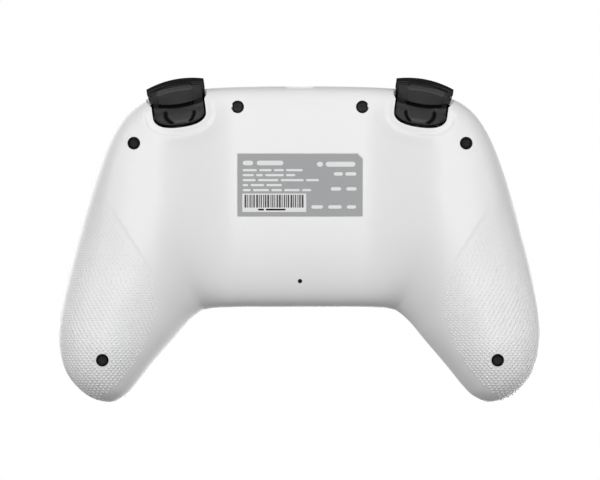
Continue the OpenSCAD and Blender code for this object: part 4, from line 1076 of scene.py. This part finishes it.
path = add_node(tree, "LightPath")
facing = add_node(tree, "NewGeometry")
clear = add_node(tree, "BsdfTransparent")
choose = add_node(tree, "MixShader")
through = either(tree, path.outputs["Is Shadow Ray"], facing.outputs["Backfacing"])
through = either(tree, through, path.outputs["Is Diffuse Ray"])
tree.links.new(through, choose.inputs["Fac"])
tree.links.new(paint.outputs["BSDF"], choose.inputs[1])
tree.links.new(clear.outputs["BSDF"], choose.inputs[2])
tree.links.new(choose.outputs["Shader"], tree.nodes["Material Output"].inputs["Surface"])
floor_mesh = bpy.data.meshes.new("floor")
floor_bm.to_mesh(floor_mesh)
floor_bm.free()
floor = bpy.data.objects.new("floor", floor_mesh)
floor.location.z = -0.0002
floor_mesh.materials.append(floor_mat)
scene.collection.objects.link(floor)


def lamp(name, place, aim, size, power, narrow=None):
    """Soft square lamp, or an oblong one where a narrow side is given."""
    data = bpy.data.lights.new(name, "AREA")
    data.size = size
    if narrow:
        data.shape = "RECTANGLE"
        data.size_y = narrow
    data.energy = power
    obj = bpy.data.objects.new(name, data)
    obj.location = place
    obj.rotation_euler = (Vector(aim) - Vector(place)).to_track_quat("-Z", "Y").to_euler()
    scene.collection.objects.link(obj)


lamp("rear_middle", (0, 0.05, -1.2), (0, 0.02, 0), 0.5, 5.3)
for name, side in SIDES.items():
    lamp("rear_" + name, (-side * 0.34, 0.55, -0.72), (-side * 0.05, 0, 0), 0.34, 1.95)
    lamp("side_" + name, (-side * 0.62, 0.1, -0.35), (-side * 0.05, 0, 0), 0.6, 1.55, 0.3)
lamp("front_key", (-0.5, -0.4, 1.3), (0, 0, 0), 0.8, 13)
lamp("front_fill", (0.6, 0.4, 1.2), (0, 0, 0), 0.9, 6.5)

world = bpy.data.worlds.new("studio")
scene.world = world
world.use_nodes = True
tree = world.node_tree
back = tree.nodes["Background"]
back.inputs["Color"].default_value = (1, 1, 1, 1)
path = add_node(tree, "LightPath")
seen = either(tree, path.outputs["Is Camera Ray"], path.outputs["Is Glossy Ray"])
seen = either(tree, seen, path.outputs["Is Transmission Ray"])
level = add_node(tree, "MapRange", To_Min=0.05, To_Max=1.0)
tree.links.new(seen, level.inputs["Value"])
tree.links.new(level.outputs["Result"], back.inputs["Strength"])

CAMERA_AWAY = 4
SCALE_Z = 0.012
SENSOR_WIDE = 36
PHOTO_WIDE = 600
METRES_PER_PIXEL = 0.000321
cam_data = bpy.data.cameras.new("camera")
cam = bpy.data.objects.new("camera", cam_data)
cam.location = (0, 0, -CAMERA_AWAY)
cam.rotation_euler = (0, math.pi, 0)
cam_data.sensor_fit = "HORIZONTAL"
cam_data.sensor_width = SENSOR_WIDE
cam_data.lens = SENSOR_WIDE * (CAMERA_AWAY + SCALE_Z) / (PHOTO_WIDE * METRES_PER_PIXEL)
cam_data.clip_start = 0.01
scene.collection.objects.link(cam)
scene.camera = cam
scene.view_settings.view_transform = "Standard"
